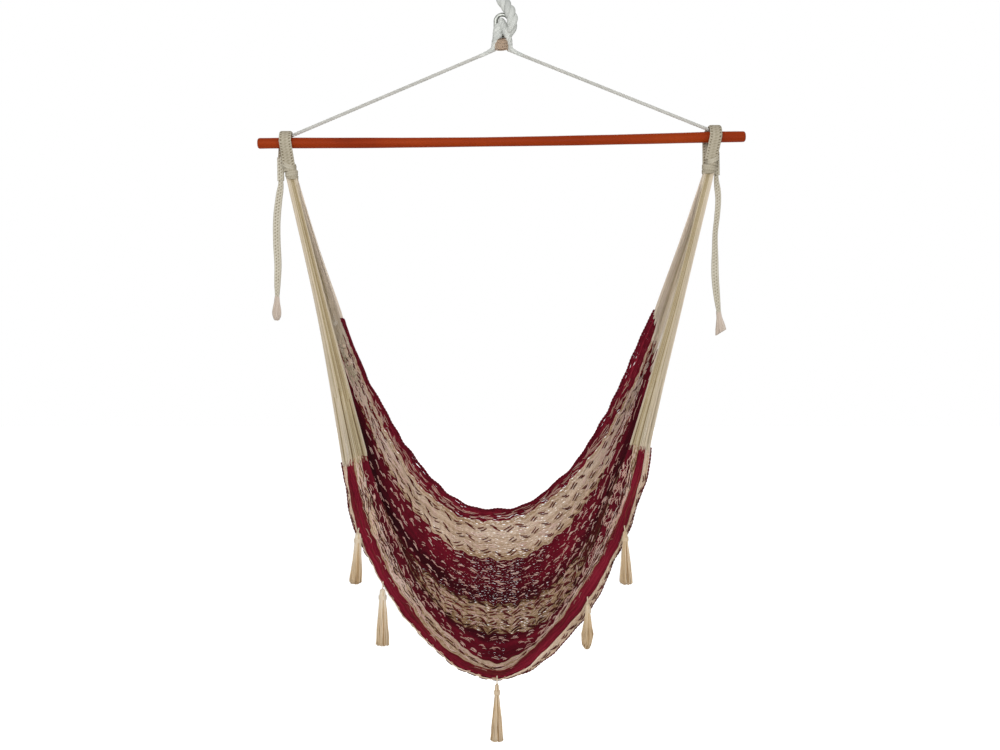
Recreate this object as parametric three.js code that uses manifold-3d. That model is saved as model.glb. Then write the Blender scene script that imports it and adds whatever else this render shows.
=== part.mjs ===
// Hammock chair: a striped net seat slung by its end strings from a wooden spreader bar.
// Millimetres, +Z up, +X to the right and +Y away from someone who faces the open seat.
// The origin is the inside of the rope loop's top, where the loop bears on a hook.
import * as THREE from 'three';
import { mergeVertices } from 'three/addons/utils/BufferGeometryUtils.js';
import Module from 'manifold-3d';

const wasm = await Module();
wasm.setup();

// Corners of a mesh closer than this are one corner
const merge_distance = 0.0003;

// Clearances between pieces that touch
const seam_gap = 0.3;
const running_gap = 0.4;
const knot_clearance = 1; // round the rope's knot, which turns in the foot of its loop

// Spreader bar: a turned dowel, a little slimmer in the middle, hung slightly out of level
const bar_length = 1000;
const bar_end_radius = 11;
const bar_middle_radius = 9.6;
const bar_tip_rounding = 5;
const bar_tilt = THREE.MathUtils.degToRad(0.8);
const bar_drop = 412; // from the origin down to the bar's middle

// Hanging rope: a loop for the hook, a knot under it, then the rope down to the whipping
const rope_radius = 12.5;
const loop_inner_width = 34;
const loop_inner_height = 50;
const loop_knot_radius = 20;
const loop_knot_sink = 1.5; // how far the loop's legs reach into the knot's outline
const rope_top_length = 16;

// Apex: a steel ring, two strands of the cord's eye through it, and the whipping that binds them
const whipping_drop = 216; // from the origin to its middle
const whipping_width = 29;
const whipping_depth = 25;
const whipping_height = 26;
const ring_wire_radius = 3.6;
const ring_inner_width = 22.4;
const ring_inner_height = 36;
const ring_drop = 176; // from the origin to the ring's middle
const ring_offset = 2; // to the right of the whipping's middle
const eye_strand_width = 13;
const eye_strand_thickness = 8.6;

// Suspension cord, from the whipping to its turns round the bar
const cord_radius = 3.7;
const hitch_thickness = 6;
const hitch_width = 20;
const hitch_ribs = 3;
const rib_depth_share = 0.17; // of the turns' thickness
const leg_end_share = 0.68; // of the whipping's half width, out to where each cord enters it
const leg_end_height_share = 0.36; // of the whipping's height, down from its middle

// Flat braided straps over the bar, and the knots under them
const strap_inset_left = 59; // from the bar's end to each strap's middle
const strap_inset_right = 63;
const strap_spacing_left = bar_length / 2 - strap_inset_left; // and from the bar's middle to it
const strap_spacing_right = bar_length / 2 - strap_inset_right;
const strap_width = 25;
const strap_thickness = 4.5;
const strap_leg_length = 40; // from the bar's axis to the knot's top
const strap_foot_spread = 9; // each leg's foot, in front of or behind the bar's axis
const strap_front_lean = 6; // how far the front leg runs inwards on its way down
const strap_back_lean = 8;
const knot_upper_inset_share = 0.6; // of the front leg's lean
const knot_depth = 24;
const knot_upper_height = 17;
const knot_lower_height = 19;
const knot_upper_width_left = 31;
const knot_lower_width_left = 23;
const knot_upper_width_right = 27;
const knot_lower_width_right = 26;
const knot_inset = 11; // the lower turn's middle, inwards from the strap's middle

// Tails: the straps' free braided ends, each with a loose tuft
const tail_width = 14;
const tail_thickness = 6;
const tail_root_length = 35; // the stretch held beside the knot
const left_tail_out = 14; // each tail's root, outwards from its strap's middle
const right_tail_out = 4.5;
const left_tail_back = 10; // and behind it
const right_tail_back = 14.2;
const tail_head_shares = [0.98, 0.8, 0.45];
const tuft_length_left = 51;
const tuft_length_right = 46;
const tuft_neck_width = 9;
const tuft_width_left = 20;
const tuft_width_right = 25;
const tuft_thickness = 13;

// End strings
const string_radius = 1.9;
const front_string_count = 11;
const back_string_count = 8;
const hem_string_count = 2;
const string_fan_width = 17; // across the row of strings where they leave the knot
const string_row_depth = 5; // from the bar's axis to each row
const string_bow_left = 8;
const string_bow_right = 2;
const front_first_line_share = 0.49; // of the way across the net's end, where the front row begins
const back_last_line_share = 0.27; // and where the back row ends
const collar_height = 8;
const collar_depth = 8.6;

// Net seat
const seat_half_span = 320; // from the middle out to where the net starts at the arms
const seat_drop = 1100; // from the bar's axis down to the lowest line
const seat_depth = 125; // how far the front edge comes forward of the bar
const net_thickness = 4;
const band_crown_share = 0.05; // of a band's width, how far it swells between its two lines
const hem_width = 28; // the last band, which turns under along the seat's front
const hem_tuck = net_thickness + seam_gap; // how far behind the band before it this one starts
const edge_cord_radius = 2.2;
// The seat's lines are laid out as an eye in front of the chair sees them, at this distance
// from the bar and this far below the origin. What lies further back is wider by that sight line.
const eye_distance = 3000;
const eye_drop = 894;

// Tassels along the front edge
const tassel_lengths = [104, 114, 114, 92, 108]; // from where each swings down to its foot
const tassel_widths = [27, 29, 28, 26, 28];
const tassel_neck_width = 9;
const tassel_thread_radius = 1.2;
const tassel_thread_drops = [8, 13, 15, 11, 9];
const tassel_stand_offs = [11, 10, 2, 14, 14]; // forward from the edge, clear of the last band
const tassel_edge_shares = [0.124, 0.228, 0.498, 0.713, 0.853]; // along the front edge

// How finely the soft forms are stepped
const net_steps = 32;
const net_rows = 3;

// The seat's eight lines, from the back edge to the front of the last burgundy band.
// left, low and right are across and down, as shares of seat_half_span and seat_drop. bow is the
// curve's power and fullness on each side. depth is at the arms and at the low point, as shares of
// seat_depth, and is negative towards the front.
const seat_line_shares = [
  { left: [-1.028, 0.332], low: [-0.054, 0.691], right: [0.983, 0.317],
    bow: [2.0, 1.0, 2.3, 0.88], depth: [0.24, 0.40] },
  { left: [-1.015, 0.339], low: [-0.042, 0.711], right: [0.998, 0.332],
    bow: [2.35, 1.0, 1.85, 1.2], depth: [0.38, 0.60] },
  { left: [-1.076, 0.375], low: [-0.010, 0.782], right: [1.006, 0.362],
    bow: [2.25, 0.96, 2.15, 1.05], depth: [0.54, 0.76] },
  { left: [-0.971, 0.559], low: [-0.010, 0.864], right: [0.887, 0.540],
    bow: [2.15, 1.1, 2.4, 0.85], depth: [0.16, 0.72] },
  { left: [-0.868, 0.587], low: [-0.010, 0.921], right: [0.830, 0.567],
    bow: [2.35, 1.05, 2.6, 0.85], depth: [-0.36, 0.40] },
  { left: [-0.903, 0.587], low: [-0.010, 0.976], right: [0.850, 0.567],
    bow: [1.8, 1.3, 1.5, 1.4], depth: [-0.44, -0.04] },
  { left: [-0.951, 0.593], low: [-0.022, 0.988], right: [0.876, 0.570],
    bow: [1.95, 1.37, 1.45, 1.45], depth: [-0.44, -0.56] },
  { left: [-0.993, 0.598], low: [-0.022, 1.002], right: [0.921, 0.570],
    bow: [1.6, 1.79, 1.53, 1.49], depth: [-0.40, -1.0] },
];
// How far the last band turns under, in half turns, at even steps from the left arm to the right one
const hem_turn_shares = [0.1, 0.5, 0.87, 0.96, 0.96, 0.93, 0.74, 0.71, 0.77, 0.62, 0.1];
const hem_end_width_share = 0.55;

// Routes of the rope, of the cord's eye and of the tails. The first two have points across from
// the chair's middle, back (or, negative, forward) from it and down from the origin. A tail's are
// across from its pivot under its root, back from it and down from it.
const rope_route = [
  [0, 0, 115], [0, 0, 120], [3, -3, 128], [12, -12, 143], [20, -20, 160], [22, -23, 176],
  [20.5, -20, 188], [17, -11, 196.5], [14.2, -7.5, 201.2],
];
const rope_radius_shares = [1, 1, 1, 0.95, 0.85, 0.72, 0.56, 0.38, 0.28];
const eye_left_route = [
  [-8.5, -7.5, 202.3], [-8.5, -8, 196.5], [-5, -7.6, 191.2], [1.5, 0, 186.2],
  [-4.5, 7.6, 191.2], [-8, 8, 196.5], [-8, 7.5, 202.3],
];
const eye_right_route = [
  [4.5, -8, 201.4], [5.3, -9.5, 197.5], [7, -13, 191.5], [6, -15.5, 184], [3.5, -11.5, 173], [2, 0, 165.5],
  [3.5, 11.5, 173], [6, 15.5, 184], [7, 13, 191.5], [5.3, 9.5, 197.5], [4.5, 8, 201.4],
];
const eye_foot_width_share = 0.8;
const left_tail_route = [
  [0, 0, 0], [-4, 1, 28], [-8.5, 2, 72], [-8.5, 2, 119], [-6, 1, 166], [-7, 0, 202], [-7.5, 0, 231],
];
const right_tail_route = [
  [0, 0, 0], [4, 1, 40], [1.5, 2, 80], [-2, 2, 111], [-2.5, 2, 158], [-2.5, 1, 197],
  [0, 1, 231], [5, 1, 275],
];

// Materials
const material = (color, roughness, metalness = 0) =>
  new THREE.MeshStandardMaterial({ color, roughness, metalness });
const stained_wood = material(0x9a3716, 0.45);
const cream_cotton = material(0xc9bda2, 0.9);
const grey_cord = material(0xb9b2aa, 0.85);
const white_rope = material(0xd6d8d4, 0.85);
const tan_twine = material(0xa8927c, 0.9);
const steel = material(0x8f938f, 0.35, 0.9);
const burgundy_cord = material(0x6c1628, 0.8);
const tan_cord = material(0xc2a88d, 0.88);

const root = new THREE.Group();

// Merges shared corners and turns the faces outwards
function closed(geometry) {
  const plain = new THREE.BufferGeometry();
  plain.setAttribute('position', geometry.getAttribute('position').clone());
  if (geometry.index) plain.setIndex(geometry.index.clone());
  const merged = mergeVertices(plain, merge_distance);
  const at = merged.getAttribute('position');
  const kept = [];
  let volume = 0;
  const [a, b, c] = [new THREE.Vector3(), new THREE.Vector3(), new THREE.Vector3()];
  const index = merged.index.array;
  for (let i = 0; i < index.length; i += 3) {
    const [i0, i1, i2] = [index[i], index[i + 1], index[i + 2]];
    if (i0 === i1 || i1 === i2 || i2 === i0) continue;
    kept.push([i0, i1, i2]);
    b.fromBufferAttribute(at, i1).cross(c.fromBufferAttribute(at, i2));
    volume += a.fromBufferAttribute(at, i0).dot(b);
  }
  merged.setIndex((volume < 0 ? kept.map(([i0, i1, i2]) => [i0, i2, i1]) : kept).flat());
  merged.computeVertexNormals();
  return merged;
}

function toManifold(geometry) {
  const solid = closed(geometry);
  const mesh = new wasm.Mesh({
    numProp: 3,
    vertProperties: new Float32Array(solid.getAttribute('position').array),
    triVerts: new Uint32Array(solid.index.array),
  });
  return new wasm.Manifold(mesh);
}

function fromManifold(manifold) {
  const mesh = manifold.getMesh();
  const geometry = new THREE.BufferGeometry();
  geometry.setAttribute('position', new THREE.BufferAttribute(mesh.vertProperties, 3));
  geometry.setIndex(new THREE.BufferAttribute(mesh.triVerts, 1));
  return closed(geometry);
}

function addPart(name, geometry, look, parent = root) {
  const mesh = new THREE.Mesh(closed(geometry), look);
  mesh.name = name;
  parent.add(mesh);
  return mesh;
}

// A round cord along a smooth curve through the points
function cordAlong(points, radius, sides, steps) {
  const section = new THREE.Shape();
  section.absarc(0, 0, radius, 0, 2 * Math.PI);
  const outline = new THREE.Shape(section.getSpacedPoints(sides).slice(0, sides));
  return new THREE.ExtrudeGeometry(outline, {
    steps, bevelEnabled: false, extrudePath: new THREE.CatmullRomCurve3(points, false, 'centripetal'),
  });
}

// A solid with an oval section that changes along a line: across is the direction of its width
function taperedAlong(points, halfWidths, halfDepths, sides, across) {
  const corners = [];
  const faces = [];
  const last = points.length - 1;
  points.forEach((point, i) => {
    const way = points[Math.min(i + 1, last)].clone().sub(points[Math.max(i - 1, 0)]).normalize();
    const depthWay = new THREE.Vector3().crossVectors(way, across).normalize();
    const widthWay = new THREE.Vector3().crossVectors(depthWay, way).normalize();
    for (let k = 0; k < sides; k++) {
      const turn = (2 * Math.PI * k) / sides;
      corners.push(point.clone()
        .addScaledVector(widthWay, halfWidths[i] * Math.cos(turn))
        .addScaledVector(depthWay, halfDepths[i] * Math.sin(turn)));
    }
  });
  for (let i = 0; i < last; i++) {
    for (let k = 0; k < sides; k++) {
      const [a, b] = [i * sides + k, i * sides + ((k + 1) % sides)];
      faces.push([a, b, b + sides], [a, b + sides, a + sides]);
    }
  }
  for (let k = 1; k < sides - 1; k++) {
    faces.push([0, k + 1, k], [last * sides, last * sides + k, last * sides + k + 1]);
  }
  const geometry = new THREE.BufferGeometry().setFromPoints(corners);
  geometry.setIndex(faces.flat());
  return geometry;
}

// A turned solid about Z from (radius, height) pairs
function turned(profile, segments) {
  const points = profile.map(([radius, height]) => new THREE.Vector2(radius, height));
  return new THREE.LatheGeometry(points, segments).rotateX(Math.PI / 2);
}

// A drum with rounded shoulders and an oval plan, such as a turn of cord pulled tight
function roundedDrum(width, depth, height, segments) {
  const shoulder_share = 0.82;
  const shoulder = (width / 2) * shoulder_share;
  const geometry = turned([
    [0, -height / 2], [shoulder, -height / 2], [width / 2, -height / 4],
    [width / 2, height / 4], [shoulder, height / 2], [0, height / 2],
  ], segments);
  return geometry.scale(1, depth / width, 1);
}

// A ring drawn out into a long oval, standing in the XZ plane
function ovalRing(innerWidth, innerHeight, wireRadius, wireSides, segments) {
  const middle = innerWidth / 2 + wireRadius;
  const stretch = (innerHeight - innerWidth) / 2;
  const geometry = new THREE.TorusGeometry(middle, wireRadius, wireSides, segments);
  geometry.rotateZ(Math.PI / segments).rotateX(Math.PI / 2);
  const at = geometry.getAttribute('position');
  for (let i = 0; i < at.count; i++) {
    at.setZ(i, at.getZ(i) + Math.sign(at.getZ(i)) * stretch);
  }
  return geometry;
}

// Hanging rope, from the loop down to the whipping
function addHangingRope() {
  const loopMiddle = -loop_inner_height / 2;
  const loopFoot = -loop_inner_height - rope_radius;
  const knotMiddle = loopFoot - loop_knot_radius + rope_radius / 2 - loop_knot_sink;
  const ball = (radius) => (
    new THREE.SphereGeometry(radius, 16, 10).rotateX(Math.PI / 2).translate(0, 0, knotMiddle));
  const loop = ovalRing(loop_inner_width, loop_inner_height, rope_radius, 10, 20).translate(0, 0, loopMiddle);
  const cutLoop = toManifold(loop).subtract(toManifold(ball(loop_knot_radius + knot_clearance)));
  addPart('rope_loop', fromManifold(cutLoop), white_rope);
  addPart('loop_knot', ball(loop_knot_radius), white_rope);

  const topStart = knotMiddle - loop_knot_radius - seam_gap;
  const topEnd = topStart - rope_top_length;
  addPart('rope_top', turned([
    [0, topEnd], [rope_radius, topEnd], [rope_radius, topStart], [0, topStart],
  ], 12), white_rope);

  const points = rope_route.map(([x, y, down], i) => new THREE.Vector3(x, y, i ? -down : topEnd - seam_gap));
  const radii = rope_radius_shares.map((share) => share * rope_radius);
  addPart('hanging_rope', taperedAlong(points, radii, radii, 12, new THREE.Vector3(1, 0, 0)), white_rope);
}

// Steel ring, the cord's eye through it and the whipping
function addApex() {
  const ring = ovalRing(ring_inner_width, ring_inner_height, ring_wire_radius, 8, 20);
  addPart('steel_ring', ring.translate(ring_offset, 0, -ring_drop), steel);

  const eyeStrand = (name, route) => {
    const curve = new THREE.CatmullRomCurve3(route.map(([x, y, down]) => new THREE.Vector3(x, y, -down)));
    const points = curve.getPoints(2 * (route.length - 1));
    const last = points.length - 1;
    const widths = points.map((_, i) => {
      const height = Math.sin((Math.PI * i) / last);
      return (eye_strand_width / 2) * (eye_foot_width_share + (1 - eye_foot_width_share) * height);
    });
    const depths = points.map(() => eye_strand_thickness / 2);
    addPart(name, taperedAlong(points, widths, depths, 8, new THREE.Vector3(1, 0, 0)), white_rope);
  };
  eyeStrand('eye_strand_left', eye_left_route);
  eyeStrand('eye_strand_right', eye_right_route);

  const whipping = roundedDrum(whipping_width, whipping_depth, whipping_height, 16);
  addPart('apex_whipping', whipping.translate(0, 0, -whipping_drop), tan_twine);
}

// Everything on the bar is placed in the bar's own tilted frame
const bar_group = new THREE.Group();
bar_group.position.set(0, 0, -bar_drop);
bar_group.rotation.y = -bar_tilt;
bar_group.updateMatrixWorld(true);
root.add(bar_group);
const onBar = (x, y, z) => bar_group.localToWorld(new THREE.Vector3(x, y, z));

function addBar() {
  const half = bar_length / 2;
  const tip = bar_tip_rounding;
  const corner = tip * (1 - Math.SQRT1_2);
  const bar = turned([
    [0, -half], [bar_end_radius - tip, -half], [bar_end_radius - corner, -half + corner],
    [bar_end_radius, -half + tip], [bar_end_radius, -strap_spacing_right + strap_width],
    [bar_middle_radius, 0], [bar_end_radius, strap_spacing_right - strap_width],
    [bar_end_radius, half - tip], [bar_end_radius - corner, half - corner],
    [bar_end_radius - tip, half], [0, half],
  ], 16);
  addPart('spreader_bar', bar.rotateY(Math.PI / 2), stained_wood, bar_group);
}

const hitch_radius = bar_end_radius + running_gap + hitch_thickness;
const strap_inner_radius = hitch_radius + running_gap + cord_radius / 2;
const strap_middle_radius = strap_inner_radius + strap_thickness / 2;

// One side's cord: turns round the bar under the strap, and the stretch up to the whipping
function addSuspensionCord(side, sign, spacing) {
  const inner = bar_end_radius + running_gap;
  const ribDepth = hitch_thickness * rib_depth_share;
  const profile = [[inner, -hitch_width / 2]];
  for (let i = 0; i < hitch_ribs; i++) {
    const start = -hitch_width / 2 + (hitch_width * i) / hitch_ribs;
    const rib = hitch_width / hitch_ribs;
    profile.push(
      [hitch_radius - ribDepth, start],
      [hitch_radius, start + rib / 3], [hitch_radius, start + (2 * rib) / 3]);
  }
  profile.push(
    [hitch_radius - ribDepth, hitch_width / 2], [inner, hitch_width / 2], [inner, -hitch_width / 2]);
  const hitch = turned(profile, 16).rotateY(Math.PI / 2).translate(sign * spacing, 0, 0);
  addPart(`${side}_bar_hitch`, hitch, grey_cord, bar_group);

  const startX = sign * (spacing - hitch_width / 2 - cord_radius / 2 - seam_gap);
  const start = onBar(startX, 0, inner + cord_radius);
  const whippingEdge = sign * (whipping_width / 2) * leg_end_share;
  const end = new THREE.Vector3(whippingEdge, 0, -whipping_drop - whipping_height * leg_end_height_share);
  const way = end.clone().sub(start).normalize();
  end.addScaledVector(way, -cord_radius);
  addPart(`${side}_suspension_cord`, cordAlong([start, end], cord_radius, 8, 1), grey_cord);
}

// A flat strap over the bar: a U in the YZ plane, whose two legs lean sideways on their way down
function addStrap(side, sign, spacing, backLean) {
  const arcSteps = 10;
  const radius = strap_middle_radius;
  const foot = -strap_leg_length + running_gap;
  const middle = [[-strap_foot_spread, foot]];
  for (let i = 0; i <= arcSteps; i++) {
    const turn = Math.PI - (Math.PI * i) / arcSteps;
    middle.push([radius * Math.cos(turn), radius * Math.sin(turn)]);
  }
  middle.push([strap_foot_spread, foot]);
  const outside = [];
  const inside = [];
  middle.forEach(([y, z], i) => {
    const before = middle[Math.max(i - 1, 0)];
    const after = middle[Math.min(i + 1, middle.length - 1)];
    const way = new THREE.Vector2(after[0] - before[0], after[1] - before[1]).normalize();
    outside.push(new THREE.Vector2(y - (way.y * strap_thickness) / 2, z + (way.x * strap_thickness) / 2));
    inside.push(new THREE.Vector2(y + (way.y * strap_thickness) / 2, z - (way.x * strap_thickness) / 2));
  });
  const shape = new THREE.Shape([...outside, ...inside.reverse()]);
  const geometry = new THREE.ExtrudeGeometry(shape, { depth: strap_width, steps: 1, bevelEnabled: false });
  // Extruded along Z with the U in XY; turned so that the U stands in YZ
  const at = geometry.getAttribute('position');
  for (let i = 0; i < at.count; i++) {
    const [y, z, x] = [at.getX(i), at.getY(i), at.getZ(i) - strap_width / 2];
    const fall = Math.max(0, -z) / strap_leg_length;
    const lean = y < 0 ? strap_front_lean : backLean;
    at.setXYZ(i, sign * (spacing - fall * lean) + x, y, z);
  }
  addPart(`${side}_strap`, geometry, cream_cotton, bar_group);
}

// The two turns of the knot, which close round the strap's feet and the strings' ends
function addKnot(side, sign, spacing, upperWidth, lowerWidth) {
  const upperX = sign * (spacing - strap_front_lean * knot_upper_inset_share);
  const lowerX = sign * (spacing - knot_inset);
  const upperZ = -strap_leg_length - knot_upper_height / 2;
  const lowerZ = upperZ - knot_upper_height / 2 - seam_gap - knot_lower_height / 2;
  const upper = roundedDrum(upperWidth, knot_depth, knot_upper_height, 14).translate(upperX, 0, upperZ);
  const lower = roundedDrum(lowerWidth, knot_depth, knot_lower_height, 14).translate(lowerX, 0, lowerZ);
  addPart(`${side}_knot_upper`, upper, cream_cotton, bar_group);
  addPart(`${side}_knot_lower`, lower, cream_cotton, bar_group);
  return { x: lowerX, foot: lowerZ - knot_lower_height / 2, top: -strap_leg_length };
}

// The strap's free end: a root held beside the knot, the hanging braid and its loose tuft
function addTail(side, sign, [out, rootY], knot, route, tuftLength, tuftWidth) {
  const rootX = sign * out;
  const rootTop = knot.foot + tail_root_length;
  const rootPoints = [0, 1 / 2, 1].map((share) => (
    onBar(rootX, rootY, rootTop - share * tail_root_length)));
  const wide = rootPoints.map(() => tail_width / 2);
  const thick = rootPoints.map(() => tail_thickness / 2);
  const across = new THREE.Vector3(1, 0, 0);
  addPart(`${side}_tail_root`, taperedAlong(rootPoints, wide, thick, 8, across), cream_cotton);

  // The tail's head is a half round, so that it swings sideways under its root
  const pivot = rootPoints[2].clone();
  pivot.z -= tail_width / 2 + seam_gap;
  const headPoints = tail_head_shares.map((share) => (
    pivot.clone().add(new THREE.Vector3(0, 0, (share * tail_width) / 2))));
  const headWidths = tail_head_shares.map((share) => (tail_width / 2) * Math.sqrt(1 - share ** 2));
  const points = route.map(([x, y, down]) => pivot.clone().add(new THREE.Vector3(x, y, -down)));
  const curve = new THREE.CatmullRomCurve3(points, false, 'centripetal');
  const steps = points.length - 1;
  const along = curve.getPoints(steps);
  const narrow = along.map((_, i) => (tail_width / 2) * (i === steps ? tuft_neck_width / tail_width : 1));
  const tailPoints = [...headPoints, ...along];
  const tailWidths = [...headWidths, ...narrow];
  const tailDepths = tailPoints.map(() => tail_thickness / 2);
  addPart(`${side}_tail`, taperedAlong(tailPoints, tailWidths, tailDepths, 8, across), cream_cotton);

  const end = along[steps];
  const way = end.clone().sub(along[steps - 1]).normalize();
  const tuft_length_shares = [0, 0.3, 0.65, 0.9, 1];
  const tuft_swell_shares = [0, 0.45, 1, 0.95, 0.55];
  const tuftStart = end.clone().addScaledVector(way, seam_gap);
  const tuftPoints = tuft_length_shares.map((share) => (
    tuftStart.clone().addScaledVector(way, share * tuftLength)));
  const swell = (neck, full) => tuft_swell_shares.map((share) => (neck + (full - neck) * share) / 2);
  const widths = swell(tuft_neck_width, tuftWidth);
  const depths = swell(tail_thickness, tuft_thickness);
  addPart(`${side}_tail_tuft`, taperedAlong(tuftPoints, widths, depths, 8, across), cream_cotton);
}

// From what the eye sees at the bar's plane to a true place at a depth
function trueplane(across, down, back) {
  const spread = 1 + back / eye_distance;
  const eyeZ = -eye_drop;
  return new THREE.Vector3(across * spread, back, eyeZ + (-bar_drop - down - eyeZ) * spread);
}

// One line of the seat, sampled and measured along each half so that places are even in length
function seatLine(shares) {
  const samples = 120;
  const [startDepth, lowDepth] = shares.depth.map((share) => share * seat_depth);
  const half = (start, power, fullness) => {
    const points = [];
    for (let i = 0; i <= samples; i++) {
      const out = i / samples;
      const rise = 1 - (1 - out ** power) ** (1 / fullness);
      const across = shares.low[0] + (start[0] - shares.low[0]) * out;
      const down = shares.low[1] + (start[1] - shares.low[1]) * rise;
      points.push([across * seat_half_span, down * seat_drop]);
    }
    const lengths = [0];
    for (let i = 1; i <= samples; i++) {
      const [a, b] = [points[i - 1], points[i]];
      lengths.push(lengths[i - 1] + Math.hypot(b[0] - a[0], b[1] - a[1]));
    }
    return (share) => {
      const wanted = share * lengths[samples];
      let i = 1;
      while (i < samples && lengths[i] < wanted) i++;
      const part = (wanted - lengths[i - 1]) / (lengths[i] - lengths[i - 1]);
      const [a, b] = [points[i - 1], points[i]];
      return [a[0] + (b[0] - a[0]) * part, a[1] + (b[1] - a[1]) * part];
    };
  };
  const left = half(shares.left, shares.bow[0], shares.bow[1]);
  const right = half(shares.right, shares.bow[2], shares.bow[3]);
  return (s) => {
    const [across, down] = s < 0.5 ? left(1 - 2 * s) : right(2 * s - 1);
    const back = startDepth + (lowDepth - startDepth) * Math.sin(Math.PI * s);
    return trueplane(across, down, back);
  };
}

const seat_lines = seat_line_shares.map(seatLine);
const last_line = seat_lines.length - 1;
const grid_step = 1 / 512;

// A point of the net: line counts from the back edge, s runs from the left arm to the right one
function netPoint(line, s) {
  const i = Math.min(Math.max(Math.floor(line), 0), last_line - 1);
  const part = line - i;
  const at = (k) => seat_lines[Math.min(Math.max(k, 0), last_line)](s);
  const [a, b, c, d] = [at(i - 1), at(i), at(i + 1), at(i + 2)];
  const mix = (p, q, r, t) => (
    q + 0.5 * part * (r - p + part * (2 * p - 5 * q + 4 * r - t + part * (3 * (q - r) + t - p))));
  const width = Math.hypot(c.x - b.x, c.y - b.y, c.z - b.z);
  const crown = band_crown_share * width * Math.sin(Math.PI * part) ** 2;
  return new THREE.Vector3(
    mix(a.x, b.x, c.x, d.x), mix(a.y, b.y, c.y, d.y) - crown, mix(a.z, b.z, c.z, d.z));
}

// The sheet's directions at a place: along a line, across the lines and out of it on the sitter's side
function sheetFrame(point, line, s) {
  const [before, after] = [Math.max(s - grid_step, 0), Math.min(s + grid_step, 1)];
  const along = point(line, after).sub(point(line, before)).normalize();
  const step = point(line + grid_step, s).sub(point(line - grid_step, s));
  const out = new THREE.Vector3().crossVectors(step, along).normalize();
  const across = new THREE.Vector3().crossVectors(along, out).normalize();
  return { along, across, out };
}

// The last band starts behind the front line and turns under the seat, line 0 to 1 across it
const hem_turn_curve = new THREE.CatmullRomCurve3(hem_turn_shares.map((share, i) => (
  new THREE.Vector3(i / (hem_turn_shares.length - 1), share, 0))), false, 'catmullrom', 0.5);

function hemPoint(line, s) {
  const { across, out } = sheetFrame(netPoint, last_line, s);
  const turn = Math.PI * hem_turn_curve.getPoint(Math.min(Math.max(s, 0), 1)).y;
  const width = hem_width * (hem_end_width_share + (1 - hem_end_width_share) * Math.sin(Math.PI * s));
  return netPoint(last_line, s)
    .addScaledVector(out, -hem_tuck - line * width * Math.sin(turn))
    .addScaledVector(across, line * width * Math.cos(turn));
}

// A band of the net between two lines, as a thin closed sheet. Its edges lie half a gap inside
// the lines, in the plane that it shares with its neighbour there.
function bandSheet(point, from, to, thickness) {
  const [top, bottom] = [[], []];
  for (let row = 0; row <= net_rows; row++) {
    for (let step = 0; step <= net_steps; step++) {
      const s = step / net_steps;
      const line = from + ((to - from) * row) / net_rows;
      const { across, out } = sheetFrame(point, line, s);
      const inwards = (seam_gap / 2) * (row === 0 ? 1 : row === net_rows ? -1 : 0);
      const middle = point(line, s).addScaledVector(across, inwards);
      top.push(middle.clone().addScaledVector(out, thickness / 2));
      bottom.push(middle.addScaledVector(out, -thickness / 2));
    }
  }
  const across = net_steps + 1;
  const under = top.length;
  const faces = [];
  for (let row = 0; row < net_rows; row++) {
    for (let step = 0; step < net_steps; step++) {
      const a = row * across + step;
      faces.push([a, a + 1, a + across + 1], [a, a + across + 1, a + across]);
      const u = under + a;
      faces.push([u, u + across + 1, u + 1], [u, u + across, u + across + 1]);
    }
  }
  const wall = (a, b) => faces.push([a, under + a, under + b], [a, under + b, b]);
  const last = net_rows * across;
  for (let step = 0; step < net_steps; step++) {
    const [a, b] = [last + step, last + step + 1];
    wall(step, step + 1);
    faces.push([a, under + b, under + a], [a, b, under + b]);
  }
  for (let row = 0; row < net_rows; row++) {
    wall((row + 1) * across, row * across);
    wall(row * across + net_steps, (row + 1) * across + net_steps);
  }
  const geometry = new THREE.BufferGeometry().setFromPoints([...top, ...bottom]);
  geometry.setIndex(faces.flat());
  return geometry;
}

function addNet() {
  for (let band = 0; band < last_line; band++) {
    const tan = band % 2 === 1;
    const name = `net_${tan ? 'tan' : 'burgundy'}_${Math.floor(band / 2) + 1}`;
    addPart(name, bandSheet(netPoint, band, band + 1, net_thickness), tan ? tan_cord : burgundy_cord);
  }
  addPart('net_tan_4', bandSheet(hemPoint, 0, 1, net_thickness), tan_cord);

  const edgeCord = (name, point, line, outward) => {
    const points = [];
    for (let step = 0; step <= net_steps; step++) {
      const s = step / net_steps;
      const { across } = sheetFrame(point, line, s);
      points.push(point(line, s).addScaledVector(across, outward * (edge_cord_radius + 2 * seam_gap)));
    }
    addPart(name, cordAlong(points, edge_cord_radius, 6, net_steps), burgundy_cord);
  };
  edgeCord('back_edge_cord', netPoint, 0, -1);
  edgeCord('front_edge_cord', hemPoint, 1, 1);
}

// One row of end strings on one side, fused to the collar that the knot grips
function addStrings(name, side, sign, knot, rowSign, targets, bow) {
  const collarTop = knot.foot - seam_gap;
  const rowY = rowSign * string_row_depth;
  const collar = new THREE.BoxGeometry(string_fan_width + 2 * string_radius, collar_depth, collar_height);
  const collarAt = onBar(knot.x, rowY, collarTop - collar_height / 2);
  let solid = toManifold(collar.rotateY(-bar_tilt).translate(collarAt.x, collarAt.y, collarAt.z));
  targets.forEach((target, i) => {
    const share = i / (targets.length - 1) - 1 / 2;
    const start = onBar(knot.x + sign * -share * string_fan_width, rowY, collarTop - collar_height / 2);
    const middle = start.clone().lerp(target, 1 / 2);
    middle.x -= sign * bow;
    solid = solid.add(toManifold(cordAlong([start, middle, target], string_radius, 6, 4)));
  });
  addPart(name, fromManifold(solid), cream_cotton);
}

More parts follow.
